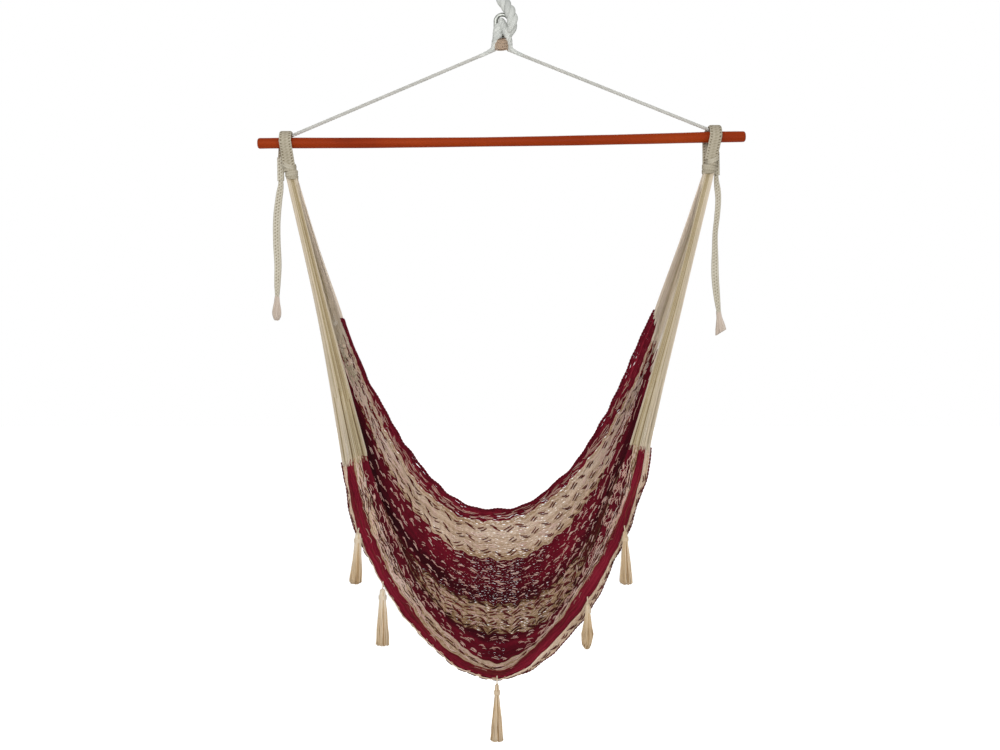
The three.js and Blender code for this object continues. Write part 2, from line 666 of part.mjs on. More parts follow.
function addEndStrings(side, sign, knot, bow) {
  const s = sign < 0 ? 0 : 1;
  // Each string ends just off the net's end. The back ones come in steeply and stay further off.
  const endOff = (point, line, off) => (
    point(line, s).addScaledVector(sheetFrame(point, line, s).along, sign * (off + seam_gap)));
  const spread = (count, from, to) => (
    Array.from({ length: count }, (_, i) => from + ((to - from) * i) / (count - 1)));
  const frontEnd = last_line - hem_tuck / hem_width;
  const front = spread(front_string_count, last_line * front_first_line_share, frontEnd)
    .map((line) => endOff(netPoint, line, string_radius));
  const hem = spread(hem_string_count, 1 / 3, 3 / 4).map((line) => endOff(hemPoint, line, string_radius));
  const back = spread(back_string_count, 1 / 4, last_line * back_last_line_share)
    .map((line) => endOff(netPoint, line, 2 * string_radius));
  addStrings(`${side}_front_strings`, side, sign, knot, -1, [...front, ...hem], bow);
  addStrings(`${side}_back_strings`, side, sign, knot, 1, back, 0);
}

// Tassels, each on a thread tied at the edge of the last burgundy band
function addTassels() {
  tassel_edge_shares.forEach((s, i) => {
    const { across } = sheetFrame(netPoint, last_line, s);
    const tie = netPoint(last_line, s).addScaledVector(across, seam_gap + tassel_thread_radius / 2);
    const top = tie.clone().add(new THREE.Vector3(0, -tassel_stand_offs[i], -tassel_thread_drops[i]));
    const way = top.clone().sub(tie).normalize();
    const [length, width, neck] = [tassel_lengths[i], tassel_widths[i] / 2, tassel_neck_width / 2];
    const threadEnd = top.clone().addScaledVector(way, -neck - seam_gap);
    addPart(`tassel_${i + 1}_thread`, cordAlong([tie, threadEnd], tassel_thread_radius, 6, 1), cream_cotton);

    // A round head about the place where the tassel swings, then a skirt that spreads downwards
    const head_shares = [1, 0.85, 0.5, 0];
    const fall_shares = [0.16, 0.5, 0.86, 0.97, 1];
    const swell_shares = [0.12, 0.55, 1, 0.96, 0.7];
    const profile = head_shares.map((share) => [neck * Math.sqrt(1 - share ** 2), top.z + neck * share]);
    fall_shares.forEach((share, k) => {
      profile.push([neck + (width - neck) * swell_shares[k], top.z - share * length]);
    });
    profile.push([0, top.z - length]);
    addPart(`tassel_${i + 1}`, turned(profile, 10).translate(top.x, top.y, 0), cream_cotton);
  });
}

addHangingRope();
addApex();
addBar();
addSuspensionCord('left', -1, strap_spacing_left);
addSuspensionCord('right', 1, strap_spacing_right);
addStrap('left', -1, strap_spacing_left, -strap_back_lean);
addStrap('right', 1, strap_spacing_right, strap_back_lean);
const left_knot = addKnot('left', -1, strap_spacing_left, knot_upper_width_left, knot_lower_width_left);
const right_knot = addKnot('right', 1, strap_spacing_right, knot_upper_width_right, knot_lower_width_right);
const left_tail_place = [strap_spacing_left + left_tail_out, left_tail_back];
const right_tail_place = [strap_spacing_right + right_tail_out, right_tail_back];
addTail('left', -1, left_tail_place, left_knot, left_tail_route, tuft_length_left, tuft_width_left);
addTail('right', 1, right_tail_place, right_knot, right_tail_route, tuft_length_right, tuft_width_right);
addNet();
addEndStrings('left', -1, left_knot, string_bow_left);
addEndStrings('right', 1, right_knot, string_bow_right);
addTassels();

export default root;
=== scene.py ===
"""Hammock chair: the finished look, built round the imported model.

The geometry code works in millimetres and each mesh is made in metres, in the model's own frame:
+Z up, +X to the right and +Y away from someone who faces the open seat.
"""
import math
from collections import namedtuple

import bpy
import numpy as np
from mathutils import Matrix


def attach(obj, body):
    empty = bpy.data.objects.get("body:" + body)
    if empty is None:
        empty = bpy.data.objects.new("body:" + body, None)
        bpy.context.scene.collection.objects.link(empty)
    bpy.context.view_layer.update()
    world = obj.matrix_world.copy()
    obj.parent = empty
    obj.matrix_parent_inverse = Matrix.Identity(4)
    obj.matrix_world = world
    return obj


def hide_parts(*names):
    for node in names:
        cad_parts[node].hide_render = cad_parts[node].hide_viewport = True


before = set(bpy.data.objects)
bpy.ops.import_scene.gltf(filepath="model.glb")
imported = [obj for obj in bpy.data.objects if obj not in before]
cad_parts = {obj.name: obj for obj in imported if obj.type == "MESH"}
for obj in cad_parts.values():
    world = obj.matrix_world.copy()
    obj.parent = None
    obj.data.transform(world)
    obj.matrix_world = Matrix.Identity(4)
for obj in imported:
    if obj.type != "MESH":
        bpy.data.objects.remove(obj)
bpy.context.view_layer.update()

MM = 0.001
TAU = 2 * math.pi

# Camera, at the photograph's place
CAMERA_PLACE = (-3.1, -3000, -893.75)
CAMERA_LENS = 52.68
SENSOR_WIDTH = 36
FLOOR_DROP = 2080

# Sizes, as in the model's source
BAR_LENGTH = 1000
BAR_RADIUS_END = 11
BAR_RADIUS_MIDDLE = 9.6
BAR_TIP = 5
BAR_TILT = math.radians(0.8)
BAR_DROP = 412
SPACING = {"left": 441, "right": 437}
SIGN = {"left": -1, "right": 1}
STRAP_WIDTH = 25
STRAP_THICKNESS = 4.5
STRAP_RADIUS = 21.9
STRAP_LEG = 40
STRAP_SPREAD = 9
KNOT_DEPTH = 24
KNOT_HEIGHTS = (17, 19)
KNOT_WIDTHS = {"left": (31, 23), "right": (27, 26)}
TAIL_WIDTH = 14
TAIL_THICKNESS = 6
TAIL_PLACE = {"left": (455, 10), "right": (441.5, 14.2)}
TUFT = {"left": (51, 20), "right": (46, 25)}
CORD_RADIUS = 3.7
SEAM_GAP = 0.3
RUNNING_GAP = 0.4
HITCH_INNER = BAR_RADIUS_END + RUNNING_GAP
HITCH_WIDTH = 20
HITCH_TURNS = 3
HITCH_CORD_RADIUS = 3
WHIPPING_DROP = 216
WHIPPING_WIDTH = 29
WHIPPING_CAD_HEIGHT = 26
LEG_END_SHARES = (0.68, 0.36)  # of the whipping's half width and height, where each leg enters it
RING_INNER_WIDTH = 22.4
RING_INNER_HEIGHT = 36
RING_DROP = 176
RING_OFFSET = 2
ROPE_RADIUS = 12.5
LOOP_INNER_RADIUS = 17
LOOP_STRETCH = 8
LOOP_DROP = 25
LOOP_KNOT_DROP = 77.75

# Sizes of the look alone, most of them closer to the photograph than the source's
BAR_BOW = 3.4  # how far the bar sags in its middle
FRONT_TUCK = 9  # how far a strap's front end runs on into its knot
BACK_TUCK = {"left": 9, "right": 20}
FRONT_LEAN = {"left": 6, "right": 10}
BACK_LEAN = {"left": -8, "right": 12}
BACK_SHIFT_SHARE = 0.82  # the share of its lean that the back leg has where it leaves the bar
KNOT_INSETS = {"left": (3.6, 11), "right": (4.6, 13.5)}
TAIL_ROOT_LENGTH = 48
TAIL_TAPER = {
    "left": [0.7, 1, 1.05, 1.1, 1.1, 1.1, 1.1, 1.1, 1.05, 1, 0.9, 0.62],
    "right": [0.62, 0.9, 0.85, 0.82, 0.78, 0.78, 0.9, 1.05, 1.1, 1.05, 0.9, 0.62],
}
HITCH_COIL_WIDTH = 14
RING_WIRE_RADIUS = 4.3
RING_MIDDLE_RADIUS = RING_INNER_WIDTH / 2 + 2.9  # so that the thicker wire grows inwards only
ROPE_TOP = (94, 114.05)  # the straight piece's start and end, down from the hook
WHIPPING_HEIGHT = 22
WHIPPING_TURNS = 8
GOLDEN_TURN = 2.39996
TUFT_STRANDS = 54

# Cord routes: across, back and down. Those of the rope and the tails are as in the model's source
ROPE_ROUTE = [
    (0, 0, 114.4), (0, 0, 120), (3, -3, 128), (12, -12, 143), (20, -20, 160), (22, -23, 176),
    (20.5, -20, 188), (17, -11, 196.5), (14.2, -7.5, 201.2),
]
ROPE_SHARES = [1, 1, 1, 1, 0.98, 0.92, 0.82, 0.64, 0.5]
# The cord's eye: each strand comes up behind, through the ring, and down beside the whipping into its leg
EYE_ROUTE = {
    "left": [
        (-3, 9, 200), (-3, 8, 186), (-5, 4, 178), (-6, -3, 180), (-7.5, -7, 190), (-8.5, -7, 203),
        (-14, -4, 215), (-17, -2, 224.5), (-28, -1, 232.5), (-44, 0, 239.8),
    ],
    "right": [
        (4, 9, 200), (3, 10, 186), (0, 9, 176), (-1, 3, 169.5), (0, -5, 170.5), (4, -10, 180),
        (9, -12, 192), (14, -10, 204), (17, -6, 215), (18.5, -3, 224.5), (28, -1, 231.8), (44, 0, 238.8),
    ],
}
EYE_RADII = {
    "left": [6, 6, 6.5, 8.5, 10.5, 10.6, 7.2, 5.2, 4.4, 3.9],
    "right": [6, 6.5, 7, 7.4, 8, 9, 8.8, 7.4, 5.8, 4.8, 4.3, 3.9],
}
TAIL_ROUTE = {
    "left": [
        (0, 0, 0), (-4, 1, 28), (-8.5, 2, 72), (-8.5, 2, 119), (-6, 1, 166), (-7, 0, 202),
        (-7.5, 0, 231),
    ],
    "right": [
        (0, 0, 0), (4, 1, 40), (1.5, 2, 80), (-2, 2, 111), (-2.5, 2, 158), (-2.5, 1, 197),
        (0, 1, 231), (5, 1, 275),
    ],
}

# The seat's eight lines, as in the model's source
HALF_SPAN = 320
SEAT_DROP = 1100
SEAT_DEPTH = 125
EYE_DISTANCE = 3000
EYE_DROP = 894
HEM_WIDTH = 28
HEM_END_WIDTH_SHARE = 0.55
HEM_TUCK = 4.3
LAST_LINE = 7
SEAT_LINES = [
    ((-1.028, 0.332), (-0.054, 0.691), (0.983, 0.317), (2.0, 1.0, 2.3, 0.88), (0.24, 0.40)),
    ((-1.015, 0.339), (-0.042, 0.711), (0.998, 0.332), (2.35, 1.0, 1.85, 1.2), (0.38, 0.60)),
    ((-1.076, 0.375), (-0.010, 0.782), (1.006, 0.362), (2.25, 0.96, 2.15, 1.05), (0.54, 0.76)),
    ((-0.971, 0.559), (-0.010, 0.864), (0.887, 0.540), (2.15, 1.1, 2.4, 0.85), (0.16, 0.72)),
    ((-0.868, 0.587), (-0.010, 0.921), (0.830, 0.567), (2.35, 1.05, 2.6, 0.85), (-0.36, 0.40)),
    ((-0.903, 0.587), (-0.010, 0.976), (0.850, 0.567), (1.8, 1.3, 1.5, 1.4), (-0.44, -0.04)),
    ((-0.951, 0.593), (-0.022, 0.988), (0.876, 0.570), (1.95, 1.37, 1.45, 1.45), (-0.44, -0.56)),
    ((-0.993, 0.598), (-0.022, 1.002), (0.921, 0.570), (1.6, 1.79, 1.53, 1.49), (-0.40, -1.0)),
]
# A place along the seat, and the share of half a turn that the hem has made there: it turns sooner
# at the left arm than in the model's source
HEM_TURNS = [
    (0, 0.1), (0.04, 0.42), (0.1, 0.55), (0.2, 0.87), (0.3, 0.96), (0.4, 0.96),
    (0.5, 0.93), (0.6, 0.74), (0.7, 0.71), (0.8, 0.77), (0.9, 0.62), (1, 0.1),
]

rng = np.random.default_rng(7)


def linear(r, g, b):
    """An 8-bit display colour as the linear colour that nodes take."""
    def one(value):
        value /= 255
        return value / 12.92 if value <= 0.04045 else ((value + 0.055) / 1.055) ** 2.4
    return one(r), one(g), one(b), 1.0


# Materials

YARN_SHINE = 0.12
YARN_ROUGHNESS = 0.85
PATCH_SCALE = 14.0
PATCH_AMOUNT = 0.35
FIBRE_SCALE = 900.0


def shader(name, roughness, metallic=0.0):
    material = bpy.data.materials.new(name)
    material.use_nodes = True
    tree = material.node_tree
    bsdf = tree.nodes["Principled BSDF"]
    bsdf.inputs["Roughness"].default_value = roughness
    bsdf.inputs["Metallic"].default_value = metallic
    return material, tree, bsdf


def link(tree, a, b):
    tree.links.new(a, b)


def noise(tree, coordinates, scale, detail=2.0, stretch=(1, 1, 1)):
    mapping = tree.nodes.new("ShaderNodeMapping")
    mapping.inputs["Scale"].default_value = stretch
    link(tree, coordinates, mapping.inputs["Vector"])
    texture = tree.nodes.new("ShaderNodeTexNoise")
    texture.inputs["Scale"].default_value = scale
    texture.inputs["Detail"].default_value = detail
    link(tree, mapping.outputs["Vector"], texture.inputs["Vector"])
    return texture.outputs["Fac"]


def maths(tree, operation, a, b, clamp=False):
    node = tree.nodes.new("ShaderNodeMath")
    node.operation = operation
    node.use_clamp = clamp
    for socket, value in zip(node.inputs, (a, b)):
        if isinstance(value, (int, float)):
            socket.default_value = value
        else:
            link(tree, value, socket)
    return node.outputs["Value"]


def ramp(tree, factor, stops):
    node = tree.nodes.new("ShaderNodeValToRGB")
    elements = node.color_ramp.elements
    while len(elements) < len(stops):
        elements.new(0.5)
    for element, (place, colour) in zip(elements, stops):
        element.position = place
        element.color = linear(*colour)
    link(tree, factor, node.inputs["Fac"])
    return node.outputs["Color"]


def bump(tree, bsdf, height, strength, distance):
    node = tree.nodes.new("ShaderNodeBump")
    node.inputs["Strength"].default_value = strength
    node.inputs["Distance"].default_value = distance
    link(tree, height, node.inputs["Height"])
    link(tree, node.outputs["Normal"], bsdf.inputs["Normal"])


def yarn(name, stops, roughness=YARN_ROUGHNESS, patch_amount=PATCH_AMOUNT):
    """Twisted cotton. The tone that each strand carries picks its colour, which patches and fibres vary."""
    material, tree, bsdf = shader(name, roughness)
    bsdf.inputs["Specular IOR Level"].default_value = YARN_SHINE
    coordinates = tree.nodes.new("ShaderNodeTexCoord").outputs["Object"]
    tone = tree.nodes.new("ShaderNodeAttribute")
    tone.attribute_name = "tone"
    broad = noise(tree, coordinates, PATCH_SCALE, 3.0)
    fine = noise(tree, coordinates, FIBRE_SCALE)
    shift = maths(tree, "MULTIPLY", maths(tree, "SUBTRACT", broad, 0.5), patch_amount)
    grain = maths(tree, "MULTIPLY", maths(tree, "SUBTRACT", fine, 0.5), 0.5)
    factor = maths(tree, "ADD", maths(tree, "ADD", tone.outputs["Fac"], shift), grain, clamp=True)
    link(tree, ramp(tree, factor, stops), bsdf.inputs["Base Color"])
    bump(tree, bsdf, fine, 0.5, 0.0006)
    return material


def wood(name):
    """Reddish stain over straight grain that runs along the bar."""
    material, tree, bsdf = shader(name, 0.6)
    bsdf.inputs["Specular IOR Level"].default_value = 0.1
    coordinates = tree.nodes.new("ShaderNodeTexCoord").outputs["Object"]
    grain = noise(tree, coordinates, 60.0, 5.0, (0.06, 1.6, 1.6))
    pores = noise(tree, coordinates, 420.0, 2.0, (0.05, 1.5, 1.5))
    cloud = noise(tree, coordinates, 9.0, 2.0)
    factor = maths(tree, "ADD", maths(tree, "MULTIPLY", grain, 0.6), maths(tree, "MULTIPLY", cloud, 0.4))
    colour = ramp(tree, factor, [
        (0.25, (112, 34, 4)), (0.45, (142, 46, 5)), (0.62, (152, 54, 8)), (0.8, (164, 68, 16))])
    link(tree, colour, bsdf.inputs["Base Color"])
    link(tree, maths(tree, "ADD", maths(tree, "MULTIPLY", pores, 0.25), 0.42), bsdf.inputs["Roughness"])
    bump(tree, bsdf, pores, 0.25, 0.0004)
    return material


def zinc(name):
    """Plated wire, a little dulled and scratched."""
    material, tree, bsdf = shader(name, 0.35, 0.9)
    coordinates = tree.nodes.new("ShaderNodeTexCoord").outputs["Object"]
    cloud = noise(tree, coordinates, 110.0, 4.0)
    link(tree, ramp(tree, cloud, [(0.3, (128, 130, 126)), (0.7, (176, 178, 172))]), bsdf.inputs["Base Color"])
    link(tree, maths(tree, "ADD", maths(tree, "MULTIPLY", cloud, 0.3), 0.22), bsdf.inputs["Roughness"])
    bump(tree, bsdf, noise(tree, coordinates, 800.0, 2.0), 0.2, 0.0002)
    return material


YARN_COLOURS = {  # at each tone
    "white_rope": [
        (0.0, (128, 128, 122)), (0.35, (186, 188, 184)), (0.7, (214, 216, 211)), (1.0, (228, 228, 222))],
    "grey_cord": [
        (0.0, (76, 73, 68)), (0.3, (152, 150, 144)), (0.6, (197, 196, 190)), (1.0, (214, 213, 207))],
    "tan_twine": [
        (0.0, (104, 82, 66)), (0.4, (172, 146, 124)), (0.75, (204, 181, 158)), (1.0, (214, 197, 178))],
    "cream_cotton": [
        (0.0, (112, 92, 66)), (0.3, (166, 148, 112)), (0.6, (202, 188, 162)), (1.0, (222, 208, 192))],
    "strap_cotton": [
        (0.0, (84, 68, 50)), (0.3, (138, 128, 108)), (0.6, (176, 167, 147)), (1.0, (206, 200, 184))],
    "tuft_cotton": [
        (0.0, (150, 128, 112)), (0.5, (198, 182, 168)), (1.0, (224, 212, 200))],
    "burgundy_cord": [
        (0.0, (38, 4, 10)), (0.35, (84, 10, 26)), (0.65, (122, 20, 40)), (1.0, (154, 42, 60))],
    "tan_cord": [
        (0.0, (86, 58, 38)), (0.35, (164, 132, 96)), (0.65, (206, 178, 152)), (1.0, (236, 217, 198))],
    "fleck_pale": [
        (0.0, (158, 110, 98)), (0.5, (212, 168, 154)), (1.0, (238, 214, 202))],
    "fleck_dark": [
        (0.0, (46, 12, 12)), (0.5, (92, 30, 30)), (1.0, (140, 54, 52))],
    "tassel_cotton": [
        (0.0, (138, 102, 64)), (0.35, (184, 154, 116)), (0.65, (212, 188, 154)), (1.0, (230, 218, 200))],
}
MATERIALS = {
    "stained_wood": wood("stained_wood"),
    "steel": zinc("zinc_wire"),
}
OWN_ROUGHNESS = {"burgundy_cord": 0.8}
OWN_PATCH_AMOUNT = {"cream_cotton": 0.12}
for each, colours in YARN_COLOURS.items():
    MATERIALS[each] = yarn(each, colours, OWN_ROUGHNESS.get(each, YARN_ROUGHNESS),
                           OWN_PATCH_AMOUNT.get(each, PATCH_AMOUNT))


# Mesh code

def unit(vectors):
    return vectors / np.maximum(np.linalg.norm(vectors, axis=-1, keepdims=True), 1e-9)


def smooth_curve(points, count):
    """A centripetal curve through the points, with count places evenly spaced along it."""
    points = np.asarray(points, float)
    ends = np.vstack([2 * points[0] - points[1], points, 2 * points[-1] - points[-2]])
    knots = np.concatenate([[0], np.cumsum(np.linalg.norm(np.diff(ends, axis=0), axis=1) ** 0.5)])
    fine = []
    for i in range(1, len(ends) - 2):
        t = np.linspace(knots[i], knots[i + 1], 24, endpoint=i == len(ends) - 3)[:, None]
        p, k = ends[i - 1:i + 3], knots[i - 1:i + 3]
        a = [((k[j + 1] - t) * p[j] + (t - k[j]) * p[j + 1]) / (k[j + 1] - k[j]) for j in range(3)]
        b = [((k[j + 2] - t) * a[j] + (t - k[j]) * a[j + 1]) / (k[j + 2] - k[j]) for j in range(2)]
        fine.append(((k[2] - t) * b[0] + (t - k[1]) * b[1]) / (k[2] - k[1]))
    return even(np.vstack(fine), count)


def even(points, count):
    run = run_of(points)
    wanted = np.linspace(0, run[-1], count)
    return np.stack([np.interp(wanted, run, points[:, axis]) for axis in range(3)], axis=1)


def run_of(points):
    """How far along the points each of them is."""
    steps = np.diff(np.asarray(points, float), axis=0)
    return np.concatenate([[0], np.cumsum(np.linalg.norm(steps, axis=1))])


def length_of(points):
    return float(run_of(points)[-1])


def carried_frames(path, first):
    """Two directions square to the path at each place, carried along it without twist."""
    ways = unit(np.gradient(path, axis=0))
    side = np.asarray(first, float)
    sides = []
    for way in ways:
        side = side - way * side.dot(way)
        side = side / np.linalg.norm(side)
        sides.append(side)
    sides = np.array(sides)
    return sides, np.cross(ways, sides)


class Pile:
    """Gathers rings of points into one closed-surfaced mesh. Each point carries a tone from 0 to 1."""

    def __init__(self):
        self.points, self.quads, self.caps, self.tones, self.count = [], [], [], [], 0

    def rings(self, rings, tone=0.5, closed=False):
        n, k, _ = rings.shape
        index = self.count + np.arange(n * k).reshape(n, k)
        turned = np.roll(index, -1, axis=1)
        if closed:
            quads = np.stack([index, turned, np.roll(turned, -1, 0), np.roll(index, -1, 0)], -1)
        else:
            quads = np.stack([index[:-1], turned[:-1], turned[1:], index[1:]], -1)
            self.caps += [index[0][::-1], index[-1]]
        self.quads.append(quads.reshape(-1, 4))
        self.points.append(rings.reshape(-1, 3))
        tone = np.asarray(tone, float)
        if tone.ndim == 1:  # one tone for each ring
            tone = tone[:, None]
        self.tones.append(np.broadcast_to(tone, (n, k)).reshape(-1))
        self.count += n * k

    def tube(self, path, radius, sides=6, up=(0, 0, 1), tone=0.5, flat=1.0, closed=False):
        """A tube along path: radius is its half width, and flat times that its half depth, along up."""
        path = np.asarray(path, float)
        if closed:
            ways = unit(np.roll(path, -1, 0) - np.roll(path, 1, 0))
        else:
            ways = unit(np.gradient(path, axis=0))
        one = unit(np.cross(np.broadcast_to(np.asarray(up, float), path.shape), ways))
        two = np.cross(ways, one)
        radius = np.broadcast_to(np.asarray(radius, float), (len(path),))[:, None, None]
        turn = TAU * np.arange(sides) / sides
        rings = path[:, None] + radius * (
            np.cos(turn)[None, :, None] * one[:, None] + flat * np.sin(turn)[None, :, None] * two[:, None])
        self.rings(rings, tone, closed)

    def make(self, name, material, body, slot, replaced=()):
        points = np.vstack(self.points) * MM
        quads = np.vstack(self.quads)
        mesh = bpy.data.meshes.new(name)
        mesh.vertices.add(len(points))
        mesh.vertices.foreach_set("co", points.astype(np.float32).ravel())
        corners = np.concatenate([quads.ravel()] + [np.asarray(cap) for cap in self.caps])
        totals = np.concatenate([np.full(len(quads), 4), [len(cap) for cap in self.caps]]).astype(np.int32)
        mesh.loops.add(len(corners))
        mesh.loops.foreach_set("vertex_index", corners.astype(np.int32))
        mesh.polygons.add(len(totals))
        mesh.polygons.foreach_set("loop_start", (np.cumsum(totals) - totals).astype(np.int32))
        mesh.polygons.foreach_set("loop_total", totals)
        mesh.update(calc_edges=True)
        mesh.validate()
        tone = mesh.attributes.new("tone", "FLOAT", "POINT")
        tone.data.foreach_set("value", np.concatenate(self.tones).astype(np.float32))
        mesh.polygons.foreach_set("use_smooth", np.ones(len(mesh.polygons), bool))
        mesh.materials.append(MATERIALS[material])
        piece = bpy.data.objects.new(name, mesh)
        bpy.context.scene.collection.objects.link(piece)
        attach(piece, body)
        if replaced:
            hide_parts(*replaced)
        return piece


def laid_rope(pile, path, radius, strands, pitch, sides, tones, first=(1, 0, 0), closed=False, full=1.06,
              begun=0.0):
    """Strands laid round a path: radius may change along it, and a full strand leaves shallow grooves."""
    if closed:
        loop = np.vstack([path, path[:1]])
        ones, twos = carried_frames(loop, first)
        ones, twos = ones[:-1], twos[:-1]
        run = run_of(loop)
        pitch = run[-1] / max(1, round(run[-1] / pitch))
        run = run[:-1]
    else:
        ones, twos = carried_frames(path, first)
        run = run_of(path)
    radius = np.broadcast_to(np.asarray(radius, float), (len(path),))
    spoke = math.sin(math.pi / strands)
    thick = radius * spoke / (1 + spoke) * full
    for k in range(strands):
        turn = TAU * ((run + begun) / pitch + k / strands)
        off = (radius - thick)[:, None] * (np.cos(turn)[:, None] * ones + np.sin(turn)[:, None] * twos)
        pile.tube(path + off, thick, sides, up=twos, tone=tones[k % len(tones)], closed=closed)


def bar_frame(points):
    """Points in the bar's own tilted frame as points of the model."""
    points = np.asarray(points, float)
    x, y, z = points[..., 0], points[..., 1], points[..., 2]
    c, s = math.cos(BAR_TILT), math.sin(BAR_TILT)
    return np.stack([c * x - s * z, y, s * x + c * z - BAR_DROP], axis=-1)


# Camera, light and floor

AMBIENT = 0.46
FLOOR_LIFT = 0.72
FLOOR_HALF = 30


def make_stage():
    scene = bpy.context.scene
    scene.view_settings.view_transform = "Standard"
    data = bpy.data.cameras.new("camera")
    data.lens = CAMERA_LENS
    data.sensor_width = SENSOR_WIDTH
    data.clip_start, data.clip_end = 0.05, 60
    camera = bpy.data.objects.new("camera", data)
    camera.location = [value * MM for value in CAMERA_PLACE]
    camera.rotation_euler = (math.pi / 2, 0, 0)
    scene.collection.objects.link(camera)
    scene.camera = camera

    def lamp(name, place, size, power, aim=(0, 0, -0.95)):
        light = bpy.data.lights.new(name, "AREA")
        light.shape = "DISK"
        light.size = size
        light.energy = power
        holder = bpy.data.objects.new(name, light)
        holder.location = place
        way = np.array(aim, float) - np.array(place, float)
        yaw = math.atan2(way[0], -way[1])
        pitch = math.atan2(math.hypot(way[0], way[1]), -way[2])
        holder.rotation_euler = (pitch, 0, yaw + math.pi)
        scene.collection.objects.link(holder)

    lamp("key", (-0.9, -3.5, 0.9), 1.8, 37)
    lamp("fill", (1.7, -3.1, -0.7), 2.4, 12)
    lamp("front", (-0.1, -3.5, -0.5), 1.0, 29)
    lamp("back", (0.6, 3.2, 0.8), 2.2, 34)

    world = bpy.data.worlds.new("studio")
    world.use_nodes = True
    tree = world.node_tree
    tree.nodes.clear()
    rays = tree.nodes.new("ShaderNodeLightPath")
    seen = maths(tree, "MAXIMUM", rays.outputs["Is Camera Ray"], rays.outputs["Is Glossy Ray"])
    seen = maths(tree, "MAXIMUM", seen, rays.outputs["Is Transmission Ray"])
    strength = maths(tree, "ADD", maths(tree, "MULTIPLY", seen, 1 - AMBIENT), AMBIENT)
    background = tree.nodes.new("ShaderNodeBackground")
    background.inputs["Color"].default_value = (1, 1, 1, 1)
    link(tree, strength, background.inputs["Strength"])
    output = tree.nodes.new("ShaderNodeOutputWorld")
    link(tree, background.outputs["Background"], output.inputs["Surface"])
    scene.world = world

    # Floor: pale, and lifted to white for the camera, so that only the chair's shadow shows on it
    material, tree, bsdf = shader("studio_floor", 0.9)
    coordinates = tree.nodes.new("ShaderNodeTexCoord").outputs["Object"]
    paint = noise(tree, coordinates, 3.0, 2.0)
    link(tree, ramp(tree, paint, [(0.3, (232, 232, 230)), (0.7, (238, 238, 236))]), bsdf.inputs["Base Color"])
    rays = tree.nodes.new("ShaderNodeLightPath")
    seen = maths(tree, "MAXIMUM", rays.outputs["Is Camera Ray"], rays.outputs["Is Glossy Ray"])
    bsdf.inputs["Emission Color"].default_value = (1, 1, 1, 1)
    link(tree, maths(tree, "MULTIPLY", seen, FLOOR_LIFT), bsdf.inputs["Emission Strength"])
    size, drop = FLOOR_HALF, -FLOOR_DROP * MM
    corners = [(-size, -size, drop), (size, -size, drop), (size, size, drop), (-size, size, drop)]
    mesh = bpy.data.meshes.new("studio_floor")
    mesh.from_pydata(corners, [], [(0, 1, 2, 3)])
    mesh.materials.append(material)
    floor = bpy.data.objects.new("studio_floor", mesh)
    scene.collection.objects.link(floor)


make_stage()


# Ropes and cords

ROPE_LAY = dict(strands=3, pitch=62, tones=[0.6, 0.5, 0.68], full=1.2)


def down(route):
    return [(x, y, -z) for x, y, z in route]


def make_suspension():
    for side, sign in SIGN.items():
        # The free stretch, from its turns round the bar up to the whipping
        across = SPACING[side] - HITCH_WIDTH / 2 - CORD_RADIUS / 2 - SEAM_GAP
        start = bar_frame([sign * across, 0, HITCH_INNER + CORD_RADIUS])
        end = np.array([sign * WHIPPING_WIDTH / 2 * LEG_END_SHARES[0], 0,
                        -WHIPPING_DROP - WHIPPING_CAD_HEIGHT * LEG_END_SHARES[1]])
        end -= unit(end - start) * CORD_RADIUS
        path = start + np.linspace(0, 1, 240)[:, None] * (end - start)
        pile = Pile()
        laid_rope(pile, path, CORD_RADIUS, 4, 26, 6, tones=[0.74, 0.6, 0.78, 0.68], first=(0, 1, 0))
        leg = pile.make(f"{side}_leg", "grey_cord", "suspension", "grey_cord", [f"{side}_suspension_cord"])

        # Its turns round the bar, under the strap
        turn = np.linspace(0, HITCH_TURNS, 110)
        radius = HITCH_INNER + HITCH_CORD_RADIUS
        coil = np.stack([sign * SPACING[side] + (turn / HITCH_TURNS - 0.5) * HITCH_COIL_WIDTH * -sign,
                         radius * np.sin(TAU * turn), radius * np.cos(TAU * turn)], axis=1)
        pile = Pile()
        laid_rope(pile, bar_frame(coil), HITCH_CORD_RADIUS, 3, 20, 6, tones=[0.6, 0.4, 0.7])
        pile.make(f"{side}_turns", "grey_cord", "suspension", "grey_cord", [f"{side}_bar_hitch"])


